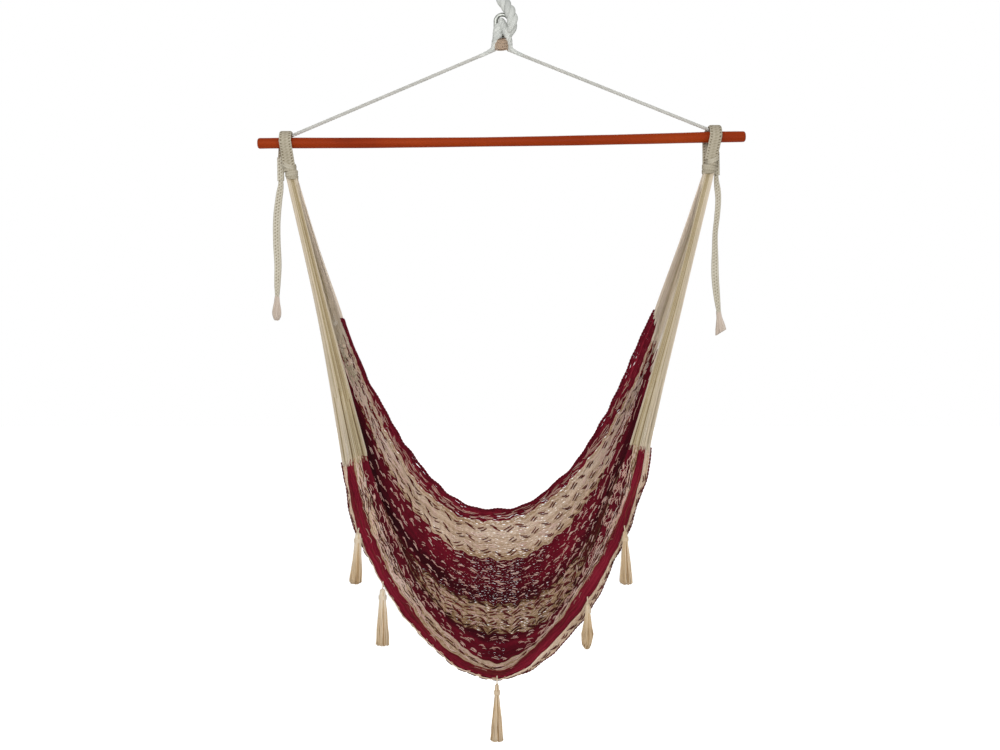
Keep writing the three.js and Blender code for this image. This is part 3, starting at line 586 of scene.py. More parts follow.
def make_rope():
    # The loop for the hook, drawn out into a long oval
    steps = 96
    middle_radius = LOOP_INNER_RADIUS + ROPE_RADIUS
    turn = TAU * np.arange(steps) / steps
    loop = np.stack([middle_radius * np.sin(turn), 0 * turn,
                     middle_radius * np.cos(turn) + np.sign(np.cos(turn)) * LOOP_STRETCH - LOOP_DROP], axis=1)
    in_knot = 0.30  # the share of a quarter turn, to each side of the foot, that lies in the knot
    keep = np.abs(turn / TAU - 0.5) > in_knot / 4
    order = np.roll(np.arange(steps), steps // 2)
    kept = loop[order][keep[order]]
    pile = Pile()
    laid_rope(pile, even(kept, 120), ROPE_RADIUS * 0.98, sides=12, first=(0, 1, 0), **ROPE_LAY)
    pile.make("hook_loop", "white_rope", "loop", "white_rope", ["rope_loop"])

    # Its knot: three turns of the rope, drawn tight
    pile = Pile()
    for height, radius, tilt, thick in ((10.5, 10.5, 0.16, 7.6), (0, 12.6, -0.2, 8.2), (-9.5, 10, 0.14, 7.0)):
        ring = np.stack([radius * np.cos(turn), radius * np.sin(turn),
                         height - LOOP_KNOT_DROP + tilt * radius * np.cos(turn + height)], axis=1)
        laid_rope(pile, ring, thick, 3, 40, 10, tones=[0.55, 0.48, 0.66], first=(0, 0, 1), closed=True,
                  full=1.16)
    pile.make("loop_knot_turns", "white_rope", "knot", "white_rope", ["loop_knot"])

    # The rope under it, in two pieces: the straight one turns at its foot
    pile = Pile()
    straight = np.zeros((24, 3))
    straight[:, 2] = -np.linspace(*ROPE_TOP, 24)
    drawn_in = np.interp(straight[:, 2], [-114, -103, -97, -94], [1, 1, 0.84, 0.66])
    laid_rope(pile, straight, ROPE_RADIUS * drawn_in, sides=14, **ROPE_LAY)
    pile.make("rope_upper", "white_rope", "rope", "white_rope", ["rope_top"])
    pile = Pile()
    path, run = smooth_curve(down(ROPE_ROUTE), 130), run_of(down(ROPE_ROUTE))
    shares = np.interp(np.linspace(0, run[-1], len(path)), run, ROPE_SHARES)
    laid_rope(pile, path, ROPE_RADIUS * shares, sides=14, begun=length_of(straight), **ROPE_LAY)
    pile.make("rope_lower", "white_rope", "suspension", "white_rope", ["hanging_rope"])


def make_apex():
    # Steel ring
    stretch = (RING_INNER_HEIGHT - RING_INNER_WIDTH) / 2
    turn = TAU * np.arange(96) / 96
    ring = np.stack([RING_OFFSET + RING_MIDDLE_RADIUS * np.cos(turn), 0 * turn,
                     RING_MIDDLE_RADIUS * np.sin(turn) + np.sign(np.sin(turn)) * stretch - RING_DROP], axis=1)
    pile = Pile()
    pile.tube(ring, RING_WIRE_RADIUS, 20, up=(0, 1, 0), closed=True)
    pile.make("ring", "steel", "suspension", "steel", ["steel_ring"])

    # The cord's eye through it
    for side, route in EYE_ROUTE.items():
        pile = Pile()
        path, run = smooth_curve(down(route), 150), run_of(down(route))
        radii = np.interp(np.linspace(0, run[-1], len(path)), run, EYE_RADII[side])
        laid_rope(pile, path, radii, 4, 34, 9, tones=[0.66, 0.52, 0.6, 0.74], first=(0, 1, 0), full=1.24)
        pile.make(f"eye_{side}", "white_rope", "suspension", "white_rope", [f"eye_strand_{side}"])

    # Twine wound over the strands, in turns that lie against each other
    pile = Pile()
    thick = WHIPPING_HEIGHT / WHIPPING_TURNS / 2
    place = np.linspace(0, WHIPPING_TURNS, WHIPPING_TURNS * 36 + 1)
    share = place / WHIPPING_TURNS
    swell = np.interp(share, [0, 0.15, 0.6, 0.85, 1], [0.88, 1, 0.98, 0.9, 0.78])
    rise = 2.6 * (1 - share) * np.cos(TAU * place)
    coil = np.stack([14.6 * swell * np.cos(TAU * place), 13.4 * swell * np.sin(TAU * place) - 2.5,
                     -WHIPPING_DROP - (share - 0.5) * WHIPPING_HEIGHT + rise - 1], axis=1)
    # painted shade: the top turns are set almost black, for the shade under the ring and the eye, and the
    # bottom turn is set a little below the rest
    tones = np.interp(place, [0, 0.8, 1.2, WHIPPING_TURNS - 1, WHIPPING_TURNS], [0.0, 0.05, 0.6, 0.72, 0.5])
    laid_rope(pile, coil, thick, 2, 9, 5, tones=[tones - 0.05, tones + 0.07], first=(0, 0, 1), full=1.2)
    # the core is set at a low tone (0.36) as painted shade where it shows between and above the turns
    core = np.stack([np.zeros(9), np.ones(9), -WHIPPING_DROP + np.linspace(11, -11.5, 9)], axis=1)
    pile.tube(core, [6, 10, 11, 11.5, 11.5, 11, 9.5, 7.5, 5], 24, up=(0, 1, 0), tone=0.36, flat=1.02)
    pile.make("whipping", "tan_twine", "suspension", "tan_twine", ["apex_whipping"])


# Bar, straps, knots and tails

KNOT_BRAID = dict(pitch=4.2, wales=2, dashes=())


def make_bar():
    half, tip = BAR_LENGTH / 2, BAR_TIP
    stations = [(-half + tip * (1 - math.cos(math.pi / 2 * k / 8)),
                 BAR_RADIUS_END - tip * (1 - math.sin(math.pi / 2 * k / 8))) for k in range(9)]
    body = np.linspace(-half + tip, half - tip, 61)[1:-1]
    slim = np.interp(np.abs(body), [0, 412], [BAR_RADIUS_MIDDLE, BAR_RADIUS_END])
    wobble = 0.12 * np.sin(body / 61) + 0.08 * np.sin(body / 23 + 1)
    profile = stations + list(zip(body, slim + wobble)) + [(-x, r) for x, r in stations[::-1]]
    bow = 1 - np.minimum(1, (np.array([x for x, _ in profile]) / SPACING["right"]) ** 2)
    path = bar_frame([(x, 0, -BAR_BOW * share) for (x, _), share in zip(profile, bow)])
    pile = Pile()
    pile.tube(path, [r for _, r in profile], 40, up=(0, 0, 1))
    pile.make("turned_bar", "stained_wood", "bar", "stained_wood", ["spreader_bar"])


def knit_band(pile, path, across, width, thickness, pitch, base, wales=4, dashes=(0.15, 0.85), fine=1.5,
              taper=None, closed=False, depth=0.5):
    """A flat braid along path. across is its width's direction: raised chevrons run along it, with painted
    light on their crests and painted shade in the grooves between wales, and the dashes are the slots that
    the turning strands leave near its edges, sunk in and painted dark as shade."""
    run = run_of(path)
    steps = max(8, int(run[-1] / fine))
    wanted = np.linspace(0, run[-1], steps + 1)
    if closed:
        wanted = wanted[:-1]
    path = np.stack([np.interp(wanted, run, path[:, axis]) for axis in range(3)], axis=1)
    if np.ndim(across) == 2:
        across = np.stack([np.interp(wanted, run, across[:, axis]) for axis in range(3)], axis=1)
    across = np.broadcast_to(np.asarray(across, float), path.shape)
    if closed:
        ways = unit(np.roll(path, -1, 0) - np.roll(path, 1, 0))
    else:
        ways = unit(np.gradient(path, axis=0))
    across = unit(across - ways * np.sum(across * ways, axis=1, keepdims=True))
    out = np.cross(ways, across)
    corners = 44
    turn = TAU * np.arange(corners) / corners
    flat_x = np.sign(np.cos(turn)) * np.abs(np.cos(turn)) ** 0.5
    flat_y = np.sign(np.sin(turn)) * np.abs(np.sin(turn)) ** 0.8
    u = flat_x / 2 + 0.5
    v = wanted[:, None]
    wale = np.abs(((u * wales) % 1) - 0.5) * 2
    lean = np.where((np.floor(u * wales) % 2) == 0, 1, -1)
    chevron = np.cos(TAU * (v / pitch + lean * (u * wales % 1) * 0.5))
    height = 0.45 * (1 - wale ** 2)[None, :] + 0.28 * chevron
    # painted light and shade on the relief: the chevrons' crests paler, the grooves between the wales dimmer
    tone = base + 0.10 * chevron - 0.14 * (wale ** 4)[None, :]
    for k, place in enumerate(dashes):
        near = np.exp(-((u - place) / 0.05) ** 2)[None, :]
        slot = near * ((v / pitch + 0.5 * k) % 1 < 0.5)
        # the slots are painted dark, as the shade inside them
        tone = tone - 1.1 * depth * slot
        height = height - depth * slot
    half_width = np.full(len(path), width / 2)
    if taper is not None:
        half_width = half_width * np.interp(wanted / run[-1], np.linspace(0, 1, len(taper)), taper)
    reach = 1 + height / (thickness / 2) * np.abs(np.sin(turn))[None, :]
    rings = path[:, None] + half_width[:, None, None] * flat_x[None, :, None] * across[:, None] \
        + (thickness / 2) * (flat_y[None, :] * reach)[..., None] * out[:, None]
    pile.rings(rings, np.clip(tone, 0, 1), closed)


def make_strap(side):
    sign = SIGN[side]
    arc = np.linspace(math.pi, 0, 40)
    profile = [(-STRAP_SPREAD, -STRAP_LEG - FRONT_TUCK)]
    profile += [(STRAP_RADIUS * math.cos(t), STRAP_RADIUS * math.sin(t)) for t in arc]
    profile += [(STRAP_SPREAD, -STRAP_LEG - BACK_TUCK[side])]
    path = []
    for y, z in profile:
        fall = np.clip(-z / STRAP_LEG, 0, 1)
        if y < 0:
            lean = fall * FRONT_LEAN[side]
        elif z > 0:
            lean = BACK_SHIFT_SHARE * (y / STRAP_RADIUS) ** 3 * BACK_LEAN[side]
        else:
            lean = (BACK_SHIFT_SHARE + (1 - BACK_SHIFT_SHARE) * fall) * BACK_LEAN[side]
        path.append((sign * (SPACING[side] - lean), y, z))
    pile = Pile()
    knit_band(pile, bar_frame(even(np.array(path, float), 160)), (1, 0, 0), STRAP_WIDTH, STRAP_THICKNESS,
              pitch=5.8, base=0.66)
    pile.make(f"{side}_strap_braid", "strap_cotton", "net", "cream_cotton", [f"{side}_strap"])


def make_knot(side):
    """Turns of the flat braid round the strings, one of them slanting across the others."""
    sign = SIGN[side]
    upper_x, lower_x = (sign * (SPACING[side] - inset) for inset in KNOT_INSETS[side])
    upper_z = -STRAP_LEG - KNOT_HEIGHTS[0] / 2
    lower_z = upper_z - KNOT_HEIGHTS[0] / 2 - SEAM_GAP - KNOT_HEIGHTS[1] / 2
    half_upper, half_lower = (width / 2 for width in KNOT_WIDTHS[side])
    half_deep = KNOT_DEPTH / 2
    pile = Pile()
    # middle across, middle up, half width, half depth, braid's height, slant, tone
    turns = [
        (upper_x - sign * 1, upper_z + 3.5, half_upper - 3.4, half_deep - 3, 11, 0.30 * sign, 0.70),
        (upper_x - sign * 2.4, upper_z - 4.4, half_upper - 4.2, half_deep - 1.6, 12, -0.10 * sign, 0.64),
        (lower_x + sign * 1.2, lower_z + 3.8, half_lower - 1.0, half_deep - 2.2, 11, -0.16 * sign, 0.70),
        (lower_x, lower_z - 3.8, half_lower - 1.6, half_deep - 2.8, 10, 0.06 * sign, 0.60),
    ]
    turn = TAU * np.arange(73) / 72
    for x, z, half_width, half_depth, height, slant, tone in turns:
        ring = np.stack([x + half_width * np.cos(turn), half_depth * np.sin(turn),
                         z + slant * half_width * np.cos(turn)], axis=1)
        knit_band(pile, bar_frame(ring), (0, 0, 1), height, 4.6, base=tone, closed=True, **KNOT_BRAID)
    # The core that the turns close round, and the slanting turn over the tail's side
    core = [(upper_x, 0, upper_z + 12), (upper_x, 0, upper_z),
            (lower_x, 0, lower_z), (lower_x, 0, lower_z - 9)]
    # the core is set at a low tone (0.3) as painted shade where it shows between the turns
    pile.tube(bar_frame(core), [9, 11, 9, 8.5], 24, up=(0, 1, 0), tone=0.3, flat=0.85)
    cross = np.array([(upper_x + sign * 12, 4, upper_z + 11), (upper_x + sign * 9, -8, upper_z + 5),
                      (upper_x, -13, upper_z - 1), (upper_x - sign * 9, -9, upper_z - 3),
                      (upper_x - sign * 13, 2, upper_z - 4)])
    knit_band(pile, bar_frame(smooth_curve(cross, 60)), (0, 0, 1), 10, 4.2, base=0.78, **KNOT_BRAID)
    replaced = [f"{side}_knot_upper", f"{side}_knot_lower"]
    pile.make(f"{side}_knot", "strap_cotton", "net", "cream_cotton", replaced)
    return lower_x, lower_z - KNOT_HEIGHTS[1] / 2


def make_tail(side, knot_foot):
    sign = SIGN[side]
    x, y = TAIL_PLACE[side]
    heights = knot_foot + TAIL_ROOT_LENGTH * (1 - np.linspace(0, 1, 16))
    root = bar_frame([(sign * x, y, height) for height in heights])
    across = (1, 0, 0)
    spots = dict(pitch=6.6, wales=3, dashes=(0.3, 0.7), base=0.92, fine=1.1, depth=0.55)
    pile = Pile()
    knit_band(pile, root, across, TAIL_WIDTH, TAIL_THICKNESS, **spots)
    pile.make(f"{side}_tail_start", "strap_cotton", "net", "cream_cotton", [f"{side}_tail_root"])

    pivot = root[-1] - np.array([0, 0, TAIL_WIDTH / 2 + SEAM_GAP])
    route = pivot + np.array(down(TAIL_ROUTE[side]), float)
    head = pivot + np.array([0, 0, TAIL_WIDTH / 2 * 0.96])
    path = smooth_curve(np.vstack([head, route[0] - [0, 0, 1], route[1:]]), 150)
    pile = Pile()
    knit_band(pile, path, across, TAIL_WIDTH, TAIL_THICKNESS, taper=TAIL_TAPER[side], **spots)
    tail = pile.make(f"{side}_tail_braid", "strap_cotton", f"{side}_tail", "cream_cotton", [f"{side}_tail"])

    # Loose ends below the braid: the left ones close again, and the right ones flare to a slanting cut
    length, width = TUFT[side]
    way = unit(path[-1] - path[-4])
    pile = Pile()
    shares = np.linspace(0, 1, 14)
    for k in range(TUFT_STRANDS):
        turn, out = GOLDEN_TURN * k, math.sqrt((k + 0.5) / TUFT_STRANDS)
        off = np.array([math.cos(turn) * width / 2, math.sin(turn) * 6.2, 0]) * out
        if side == "left":
            swell = np.interp(shares, [0, 0.3, 0.7, 0.88, 1], [0.4, 0.56, 0.94, 1, 0.84])
            own = length * (1 - 0.2 * out ** 4)
        else:
            swell = np.interp(shares, [0, 0.3, 0.75, 1], [0.34, 0.42, 0.86, 1])
            own = length * (0.96 - 0.14 * math.cos(turn) * out)
        own *= 1 - 0.03 * rng.random()
        strand = path[-1] + way * (shares[:, None] * own - 2) + off * swell[:, None] * 0.9
        pile.tube(strand, 1.5, 5, up=(0, 1, 0), tone=0.5 + 0.3 * rng.random())
    tuft = pile.make(
        f"{side}_tail_ends", "tuft_cotton", f"{side}_tail", "cream_cotton", [f"{side}_tail_tuft"])


# Seat

def true_place(across, drop, back):
    """From what the eye sees at the bar's plane to a true place at a depth."""
    spread = 1 + back / EYE_DISTANCE
    return np.stack([across * spread, back, -EYE_DROP + (-BAR_DROP - drop + EYE_DROP) * spread], axis=-1)


class SeatLine:
    def __init__(self, left, low, right, bow, depth):
        self.depth = [share * SEAT_DEPTH for share in depth]
        out = np.linspace(0, 1, 121)
        self.halves = []
        for start, power, fullness in ((left, bow[0], bow[1]), (right, bow[2], bow[3])):
            rise = 1 - (1 - out ** power) ** (1 / fullness)
            across = (low[0] + (start[0] - low[0]) * out) * HALF_SPAN
            drop = (low[1] + (start[1] - low[1]) * rise) * SEAT_DROP
            run = np.concatenate([[0], np.cumsum(np.hypot(np.diff(across), np.diff(drop)))])
            self.halves.append((run / run[-1], across, drop))

    def at(self, s):
        left, right = self.halves
        wanted = np.abs(1 - 2 * s)
        across = np.where(s < 0.5, np.interp(wanted, left[0], left[1]), np.interp(wanted, right[0], right[1]))
        drop = np.where(s < 0.5, np.interp(wanted, left[0], left[2]), np.interp(wanted, right[0], right[2]))
        back = self.depth[0] + (self.depth[1] - self.depth[0]) * np.sin(np.pi * s)
        return true_place(across, drop, back)


LINES = [SeatLine(*line) for line in SEAT_LINES]
GRID_STEP = 1 / 512


def net_at(line, s):
    """Points of the net: line counts from the back edge, and s runs from the left arm to the right one."""
    line, s = np.broadcast_arrays(np.asarray(line, float), np.asarray(s, float))
    lines = np.stack([one.at(s) for one in LINES])
    i = np.clip(np.floor(line).astype(int), 0, LAST_LINE - 1)
    part = (line - i)[:, None]
    pick = np.arange(len(s))
    a, b, c, d = (lines[np.clip(i + k, 0, LAST_LINE), pick] for k in (-1, 0, 1, 2))
    point = b + 0.5 * part * (c - a + part * (2 * a - 5 * b + 4 * c - d + part * (3 * (b - c) + d - a)))
    crown = 0.05 * np.linalg.norm(c - b, axis=1) * np.sin(np.pi * part[:, 0]) ** 2
    point[:, 1] -= crown
    return point


def sheet_frame(place, line, s):
    """Directions across the lines and out of the sheet on the sitter's side."""
    along = unit(place(line, np.minimum(s + GRID_STEP, 1)) - place(line, np.maximum(s - GRID_STEP, 0)))
    step = place(line + GRID_STEP, s) - place(line - GRID_STEP, s)
    out = unit(np.cross(step, along))
    return unit(np.cross(along, out)), out


def hem_at(line, s):
    """The last band, which starts behind the front line and turns under the seat: line 0 to 1 across it."""
    s = np.broadcast_to(np.asarray(s, float), np.broadcast(line, s).shape)
    last = np.full(s.shape, float(LAST_LINE))
    across, out = sheet_frame(net_at, last, s)
    turn = np.pi * np.interp(s, *zip(*HEM_TURNS))
    width = HEM_WIDTH * (HEM_END_WIDTH_SHARE + (1 - HEM_END_WIDTH_SHARE) * np.sin(np.pi * s))
    fall = (np.asarray(line) * width)[:, None]
    behind = -HEM_TUCK - fall * np.sin(turn)[:, None]
    return net_at(last, s) + out * behind + across * fall * np.cos(turn)[:, None]


def peak(value, middle, reach):
    """A smooth hill: 1 at the middle, and near nothing beyond the reach."""
    return np.exp(-((value - middle) / reach) ** 2)


def ripple(line, s):
    """How the slack net stands out of its even form, in mm."""
    waves = (1.8 * np.sin(TAU * (2.7 * s + 0.21 * line) + 0.7)
             + 1.3 * np.sin(TAU * (7.1 * s - 0.37 * line) + 2.1)
             + 0.9 * np.sin(TAU * (15.3 * s + 0.61 * line) + 0.3))
    near_arms = np.clip(np.abs(s - 0.5) * 4 - 0.7, 0, 1)
    folds = 6.0 * np.sin(TAU * (3.1 * line + 0.8 * s)) * peak(line, 2.6, 0.55) * near_arms
    rolls = 3.6 * (peak(line, 1.14, 0.1) + peak(line, 1.95, 0.12)
                   + 0.7 * peak(line, 3.5, 0.16) + 0.7 * peak(line, 5.2, 0.2))
    return (waves + folds + rolls) * np.sin(np.pi * np.clip(s, 0, 1)) ** 0.5


def wave_of_rows(line, s):
    """How the rows of the weave rise and fall across the band, in mm, most of all where two bands meet."""
    seam = np.clip(np.round(line), 1, LAST_LINE - 1)
    zigzag = 2 * np.abs(2 * ((41 * s + 0.37 * seam) % 1) - 1) - 1
    return (1.7 * np.sin(TAU * 23 * s + 2.2 * line) + 1.2 * np.sin(TAU * 9.3 * s + 1.1 * line)
            + 2.3 * zigzag * peak(line, seam, 0.15)) * np.sin(np.pi * np.clip(s, 0, 1)) ** 0.7


PAINTED_LINE_SHADE = [  # painted shade in the creases along the seams between bands: how much the tone rises (below 0 it falls), at which line, and how far round it
    (-0.16, 1.93, 0.06), (-0.12, 3.08, 0.06), (-0.12, 3.9, 0.07),
    (-0.16, 2.86, 0.1), (-0.2, 4.1, 0.12), (-0.14, 1.06, 0.05),
]
PAINTED_SPOT_SHADE_AND_LIGHT = [  # the same, with a place along the seat and how far round that: painted shade towards the arms, where the folded net lies in shade, and painted light (0.34) on the first tan band at the left arm, which lies in the front fan's shadow
    (-0.26, 2.6, 0.7, 0.16, 0.09), (-0.26, 2.7, 0.8, 0.85, 0.08), (-0.10, 3.0, 0.25, 0.5, 0.2),
    (0.34, 1.4, 0.5, 0, 0.12), (-0.42, 3.5, 0.4, 0.83, 0.12), (-0.22, 2.5, 0.3, 0.12, 0.12),
    (-0.22, 2.75, 0.16, 0.3, 0.16),
]


def painted_light_and_shade_at(line, s):
    """Painted shade and light on the net's tone, over a little gentle variation: painted shade along the
    seams' creases and towards the arms, where the net is drawn together into shaded folds, and painted light
    on the first tan band at the left arm.
    """
    shade = 0.04 * np.sin(TAU * (2.3 * s + 0.7 * line)) + 0.05 * np.sin(TAU * (5.1 * s - 0.4 * line) + 0.3)
    for amount, middle, reach in PAINTED_LINE_SHADE:
        shade = shade + amount * peak(line, middle, reach)
    for amount, middle, reach, place, span in PAINTED_SPOT_SHADE_AND_LIGHT:
        shade = shade + amount * peak(line, middle, reach) * peak(s, place, span)
    return shade


Band = namedtuple("Band", "name slot node first cords slack waves tone grain holes")
# tone is partly each band's yarn and partly painted shade: the middle bands (burgundy 2 and 3, tan 2 and 3)
# are set low because they lie deeper in the seat's shade
BANDS = [
    Band("woven_burgundy_1", "burgundy_cord", "net_burgundy_1", 0, 13, 0.22, 48, 0.66, 0.4, (8, 52, 1.1)),
    Band("woven_tan_1", "tan_cord", "net_tan_1", 1, 34, 0.24, 100, 0.72, 0.36, (7, 9, 0.45)),
    Band("woven_burgundy_2", "burgundy_cord", "net_burgundy_2", 2, 60, 0.30, 96, 0.47, 0.2, (6.2, 6.4, 0.42)),
    Band("woven_tan_2", "tan_cord", "net_tan_2", 3, 30, 0.26, 96, 0.50, 0.4, (6.6, 7, 0.6)),
    Band("woven_burgundy_3", "burgundy_cord", "net_burgundy_3", 4, 31, 0.22, 90, 0.42, 0.2, (7, 9, 0.25)),
    Band("woven_tan_3", "tan_cord", "net_tan_3", 5, 27, 0.24, 90, 0.60, 0.5, (7, 9, 0.5)),
    Band("woven_burgundy_4", "burgundy_cord", "net_burgundy_4", 6, 24, 0.12, 60, 0.66, 0.3, (9, 30, 0.2)),
    Band("woven_tan_4", "tan_cord", "net_tan_4", None, 11, 0.20, 84, 0.74, 0.3, (7, 9, 0.3)),
]
LAYERS = [  # ending, share of the cords, lift, tone (painted shade on the layer beneath, which lies in the top layer's shade), sides
    ("", 1.0, 0.0, 0.0, 5),
    ("_under", 0.62, -2.2, -0.16, 4),
]
CORD_RADII = (0.72, 1.5)
SPREAD_ROWS = 17


class Weave:
    """One band's surface. u runs from 0 to 1 across it, and s from the left arm to the right one."""

    def __init__(self, first):
        self.first = first
        self.line = LAST_LINE if first is None else first
        self.place = hem_at if first is None else (lambda u, s: net_at(first + u, s))
        self.grid = np.linspace(0, 1, 241)
        places = np.linspace(0, 1, SPREAD_ROWS)
        rows = np.stack([self.place(np.full_like(self.grid, u), self.grid) for u in places])
        reach = np.cumsum(np.linalg.norm(np.diff(rows, axis=0), axis=2), axis=0)
        self.widths = reach[-1]
        self.shares = np.vstack([0 * self.widths, reach / self.widths])
        self.run = length_of(rows[SPREAD_ROWS // 2])

    def width(self, s):
        return np.interp(s, self.grid, self.widths)

    def spread(self, share, s):
        """Where across the band this share of its width lies, since its lines are unevenly spaced."""
        table = np.stack([np.interp(s, self.grid, row) for row in self.shares])
        index = np.clip((table <= share).sum(axis=0) - 1, 0, SPREAD_ROWS - 2)
        pick = np.arange(len(s))
        low, high = table[index, pick], table[index + 1, pick]
        return (index + (share - low) / (high - low)) / (SPREAD_ROWS - 1)

    def at(self, u, s, lift=0.0, share=True):
        """Points with the net's ripples, and the way out there. u is a share of the width, or a line."""
        u, s = np.broadcast_arrays(np.asarray(u, float), np.asarray(s, float))
        if share:
            u = self.spread(u, s)
        across, out = sheet_frame(self.place, u, s)
        if self.first is None:
            line = np.full(s.shape, float(LAST_LINE))
            side, front = sheet_frame(net_at, line, s)
        else:
            line, side, front = self.first + u, across, out
        shift = side * wave_of_rows(line, s)[:, None] + front * ripple(line, s)[:, None]
        return self.place(u, s) + shift + out * np.broadcast_to(lift, s.shape)[:, None], out


def parting(across, along, holes):
    """How far the cords step aside, in mm, round a staggered grid of holes."""
    wide, tall, amount = holes
    row = np.round(along / tall)
    near = np.cos(np.pi * (along / tall - row)) ** 2
    return amount * near * np.sin(TAU * (across / wide + 0.5 * (row % 2)))


def weave_band(band, weave):
    s = np.linspace(0, 1, band.waves * 3 + 1)
    width = weave.width(s)
    slackness = np.sin(np.pi * s)
    pieces = []
    for ending, share, lift, painted_shade, sides in LAYERS:
        pile = Pile()
        cords = max(4, round(band.cords * share))
        radius = np.clip(0.47 * width / cords, *CORD_RADII)
        crowd = np.clip(cords * 2 * radius / width - 1, 0, 3)
        for k in range(cords):
            drift = (0.22 * np.sin(TAU * (s * (3 + k % 5) + 0.13 * k))
                     + 0.15 * np.sin(TAU * (s * 11.3 + 0.37 * k)))
            phase = band.waves * s * share + 0.5 * k + drift * 0.6
            swing = band.slack * (2 * np.abs(2 * (phase % 1) - 1) - 1)
            u = (k + 0.5 + swing) / cords
            u = u + parting(u * weave.widths.max(), s * weave.run, band.holes) * slackness / width
            u = np.clip(u, 0.2 / cords, 1 - 0.2 / cords)
            stack = (((k * 0.618) % 1) - 0.5) * 3 * crowd
            path, out = weave.at(u, s, lift + stack + 0.35 * np.cos(TAU * phase))
            tone = band.tone + painted_shade + band.grain * (rng.random() - 0.5) + painted_light_and_shade_at(weave.line + u, s)
            tone = tone + 0.35 * band.grain * np.sin(TAU * phase)
            # painted shade on cords pushed behind others where the band is crowded
            tone = tone - 0.10 * np.clip(crowd, 0, 1.5) * (stack < 0)
            pile.tube(path, radius, sides, up=out, tone=np.clip(tone, 0, 1))
        replaced = [] if pieces else [band.node]
        pieces.append(pile.make(band.name + ending, band.slot, "net", band.slot, replaced))
    return pieces


def varied(tone, amount):
    return np.clip(tone + amount * (rng.random() - 0.5), 0, 1)


def within(reach):
    return reach[0] + (reach[1] - reach[0]) * rng.random()


def stitch(pile, weave, u, s, length, slope, thick, tone, bend=0.0, steps=7, lift=2.2, wander=0.0):
    """One short stretch of a contrasting cord that surfaces on the net."""
    t = np.linspace(-0.5, 0.5, steps)
    places = np.clip(s + t * length / weave.run, 0.001, 0.999)
    aside = t * slope * length + bend * (t * t - 0.08) * length
    if wander:
        slow = np.sin(TAU * (1.7 * t + rng.random()))
        quick = np.sin(TAU * (5.3 * t + rng.random()))
        aside = aside + wander * (slow + 0.4 * quick)
    rows = np.clip(u + aside / weave.width(s), 0.0, 1.0)
    path, out = weave.at(rows, places, lift * (1 - (2 * np.abs(t)) ** 6) + 0.3)
    pile.tube(path, thick * (1 - 0.4 * (2 * np.abs(t)) ** 4), 5, up=out, tone=tone, flat=0.75)


def paired_dashes(pile, weave, u, pitch, length, thick, gap, tone, skip=0.0, reach=(0.05, 0.95), zigzag=0.36):
    """A row of pairs of dashes that lean one way and then the other."""
    count = int(weave.run / pitch)
    for k in range(count):
        s = (k + 0.5 + 0.3 * (rng.random() - 0.5)) / count
        if not reach[0] < s < reach[1] or rng.random() < skip:
            continue
        slope = zigzag * (1 if k % 2 else -1) + 0.16 * (rng.random() - 0.5)
        size = length * (0.8 + 0.5 * rng.random())
        row = u + 0.06 * (rng.random() - 0.5)
        for side in (-0.5, 0.5):
            stitch(pile, weave, row + side * gap / weave.width(s), s + 0.2 * side / count, size, slope, thick,
                   varied(tone, 0.35), bend=0.5 * (rng.random() - 0.5))


def dots(pile, weave, reach, rows, pitch, size, thick, tone):
    """A staggered grid of specks, where a paler cord shows in the gaps of the weave."""
    count = int(weave.run * (reach[1] - reach[0]) / pitch)
    for row in range(rows):
        for k in range(count):
            s = reach[0] + (reach[1] - reach[0]) * (k + 0.5 * (row % 2) + 0.3 * rng.random()) / count
            near_middle = math.sin(math.pi * (s - reach[0]) / (reach[1] - reach[0]))
            if rng.random() < 0.75 * near_middle:
                u = (row + 0.5 + 0.2 * (rng.random() - 0.5)) / rows
                slope = rng.random() - 0.5
                stitch(pile, weave, u, s, size, slope, thick, varied(tone, 0.5), steps=4, lift=1.8)


def clusters(pile, weave, u, pitch, length, thick, tone, skip=0.1, reach=(0.04, 0.96), spread=5.0, most=4):
    """A row of small clusters of curved flecks."""
    count = int(weave.run / pitch)
    for k in range(count):
        middle = (k + 0.3 + 0.4 * rng.random()) / count
        if not reach[0] < middle < reach[1] or rng.random() < skip:
            continue
        slope = 0.5 * (rng.random() - 0.5)
        for _ in range(2 + int(rng.random() * (most - 1))):
            aside = (rng.random() - 0.5) * 2 * spread / weave.width(middle)
            s = middle + (rng.random() - 0.5) * 0.5 / count
            stitch(pile, weave, u + aside, s, length * (0.6 + 0.8 * rng.random()),
                   slope + 0.4 * (rng.random() - 0.5), thick * (0.8 + 0.4 * rng.random()), varied(tone, 0.5),
                   bend=1.1 * (rng.random() - 0.3))


def streaks(pile, weave, count, reach, length, thick, tone, rows=(0.05, 0.95), wander=2.0):
    """Long loose cords that run along the band."""
    for _ in range(count):
        s, u = within(reach), within(rows)
        size = length * (0.5 + rng.random())
        stitch(pile, weave, u, s, size, 0.05 * (rng.random() - 0.5), thick, varied(tone, 0.3),
               steps=max(8, int(size / 5)), lift=2.6, wander=wander)


def curls(pile, weave, count, reach, length, size, thick, tone, rows=(0.15, 0.85)):
    """Slack cords that loop over themselves on the net."""
    for _ in range(count):
        s, u = within(reach), within(rows)
        loops, big = 1 + int(rng.random() * 2), size * (0.7 + 0.6 * rng.random())
        t = np.linspace(0, 1, 10 * loops + 8)
        turn = TAU * loops * t
        places = np.clip(s + (t * length - big * np.sin(turn)) / weave.run, 0.001, 0.999)
        aside = big * 0.6 * (1 - np.cos(turn)) - big * 0.4
        path, out = weave.at(np.clip(u + aside / weave.width(s), 0, 1), places, 2.4 + 1.2 * np.sin(turn) ** 2)
        pile.tube(path, thick, 5, up=out, tone=varied(tone, 0.4), flat=0.8)


LEFT_ARM, RIGHT_ARM = (0.02, 0.28), (0.74, 0.98)
BETWEEN_ARMS = (0.14, 0.86)


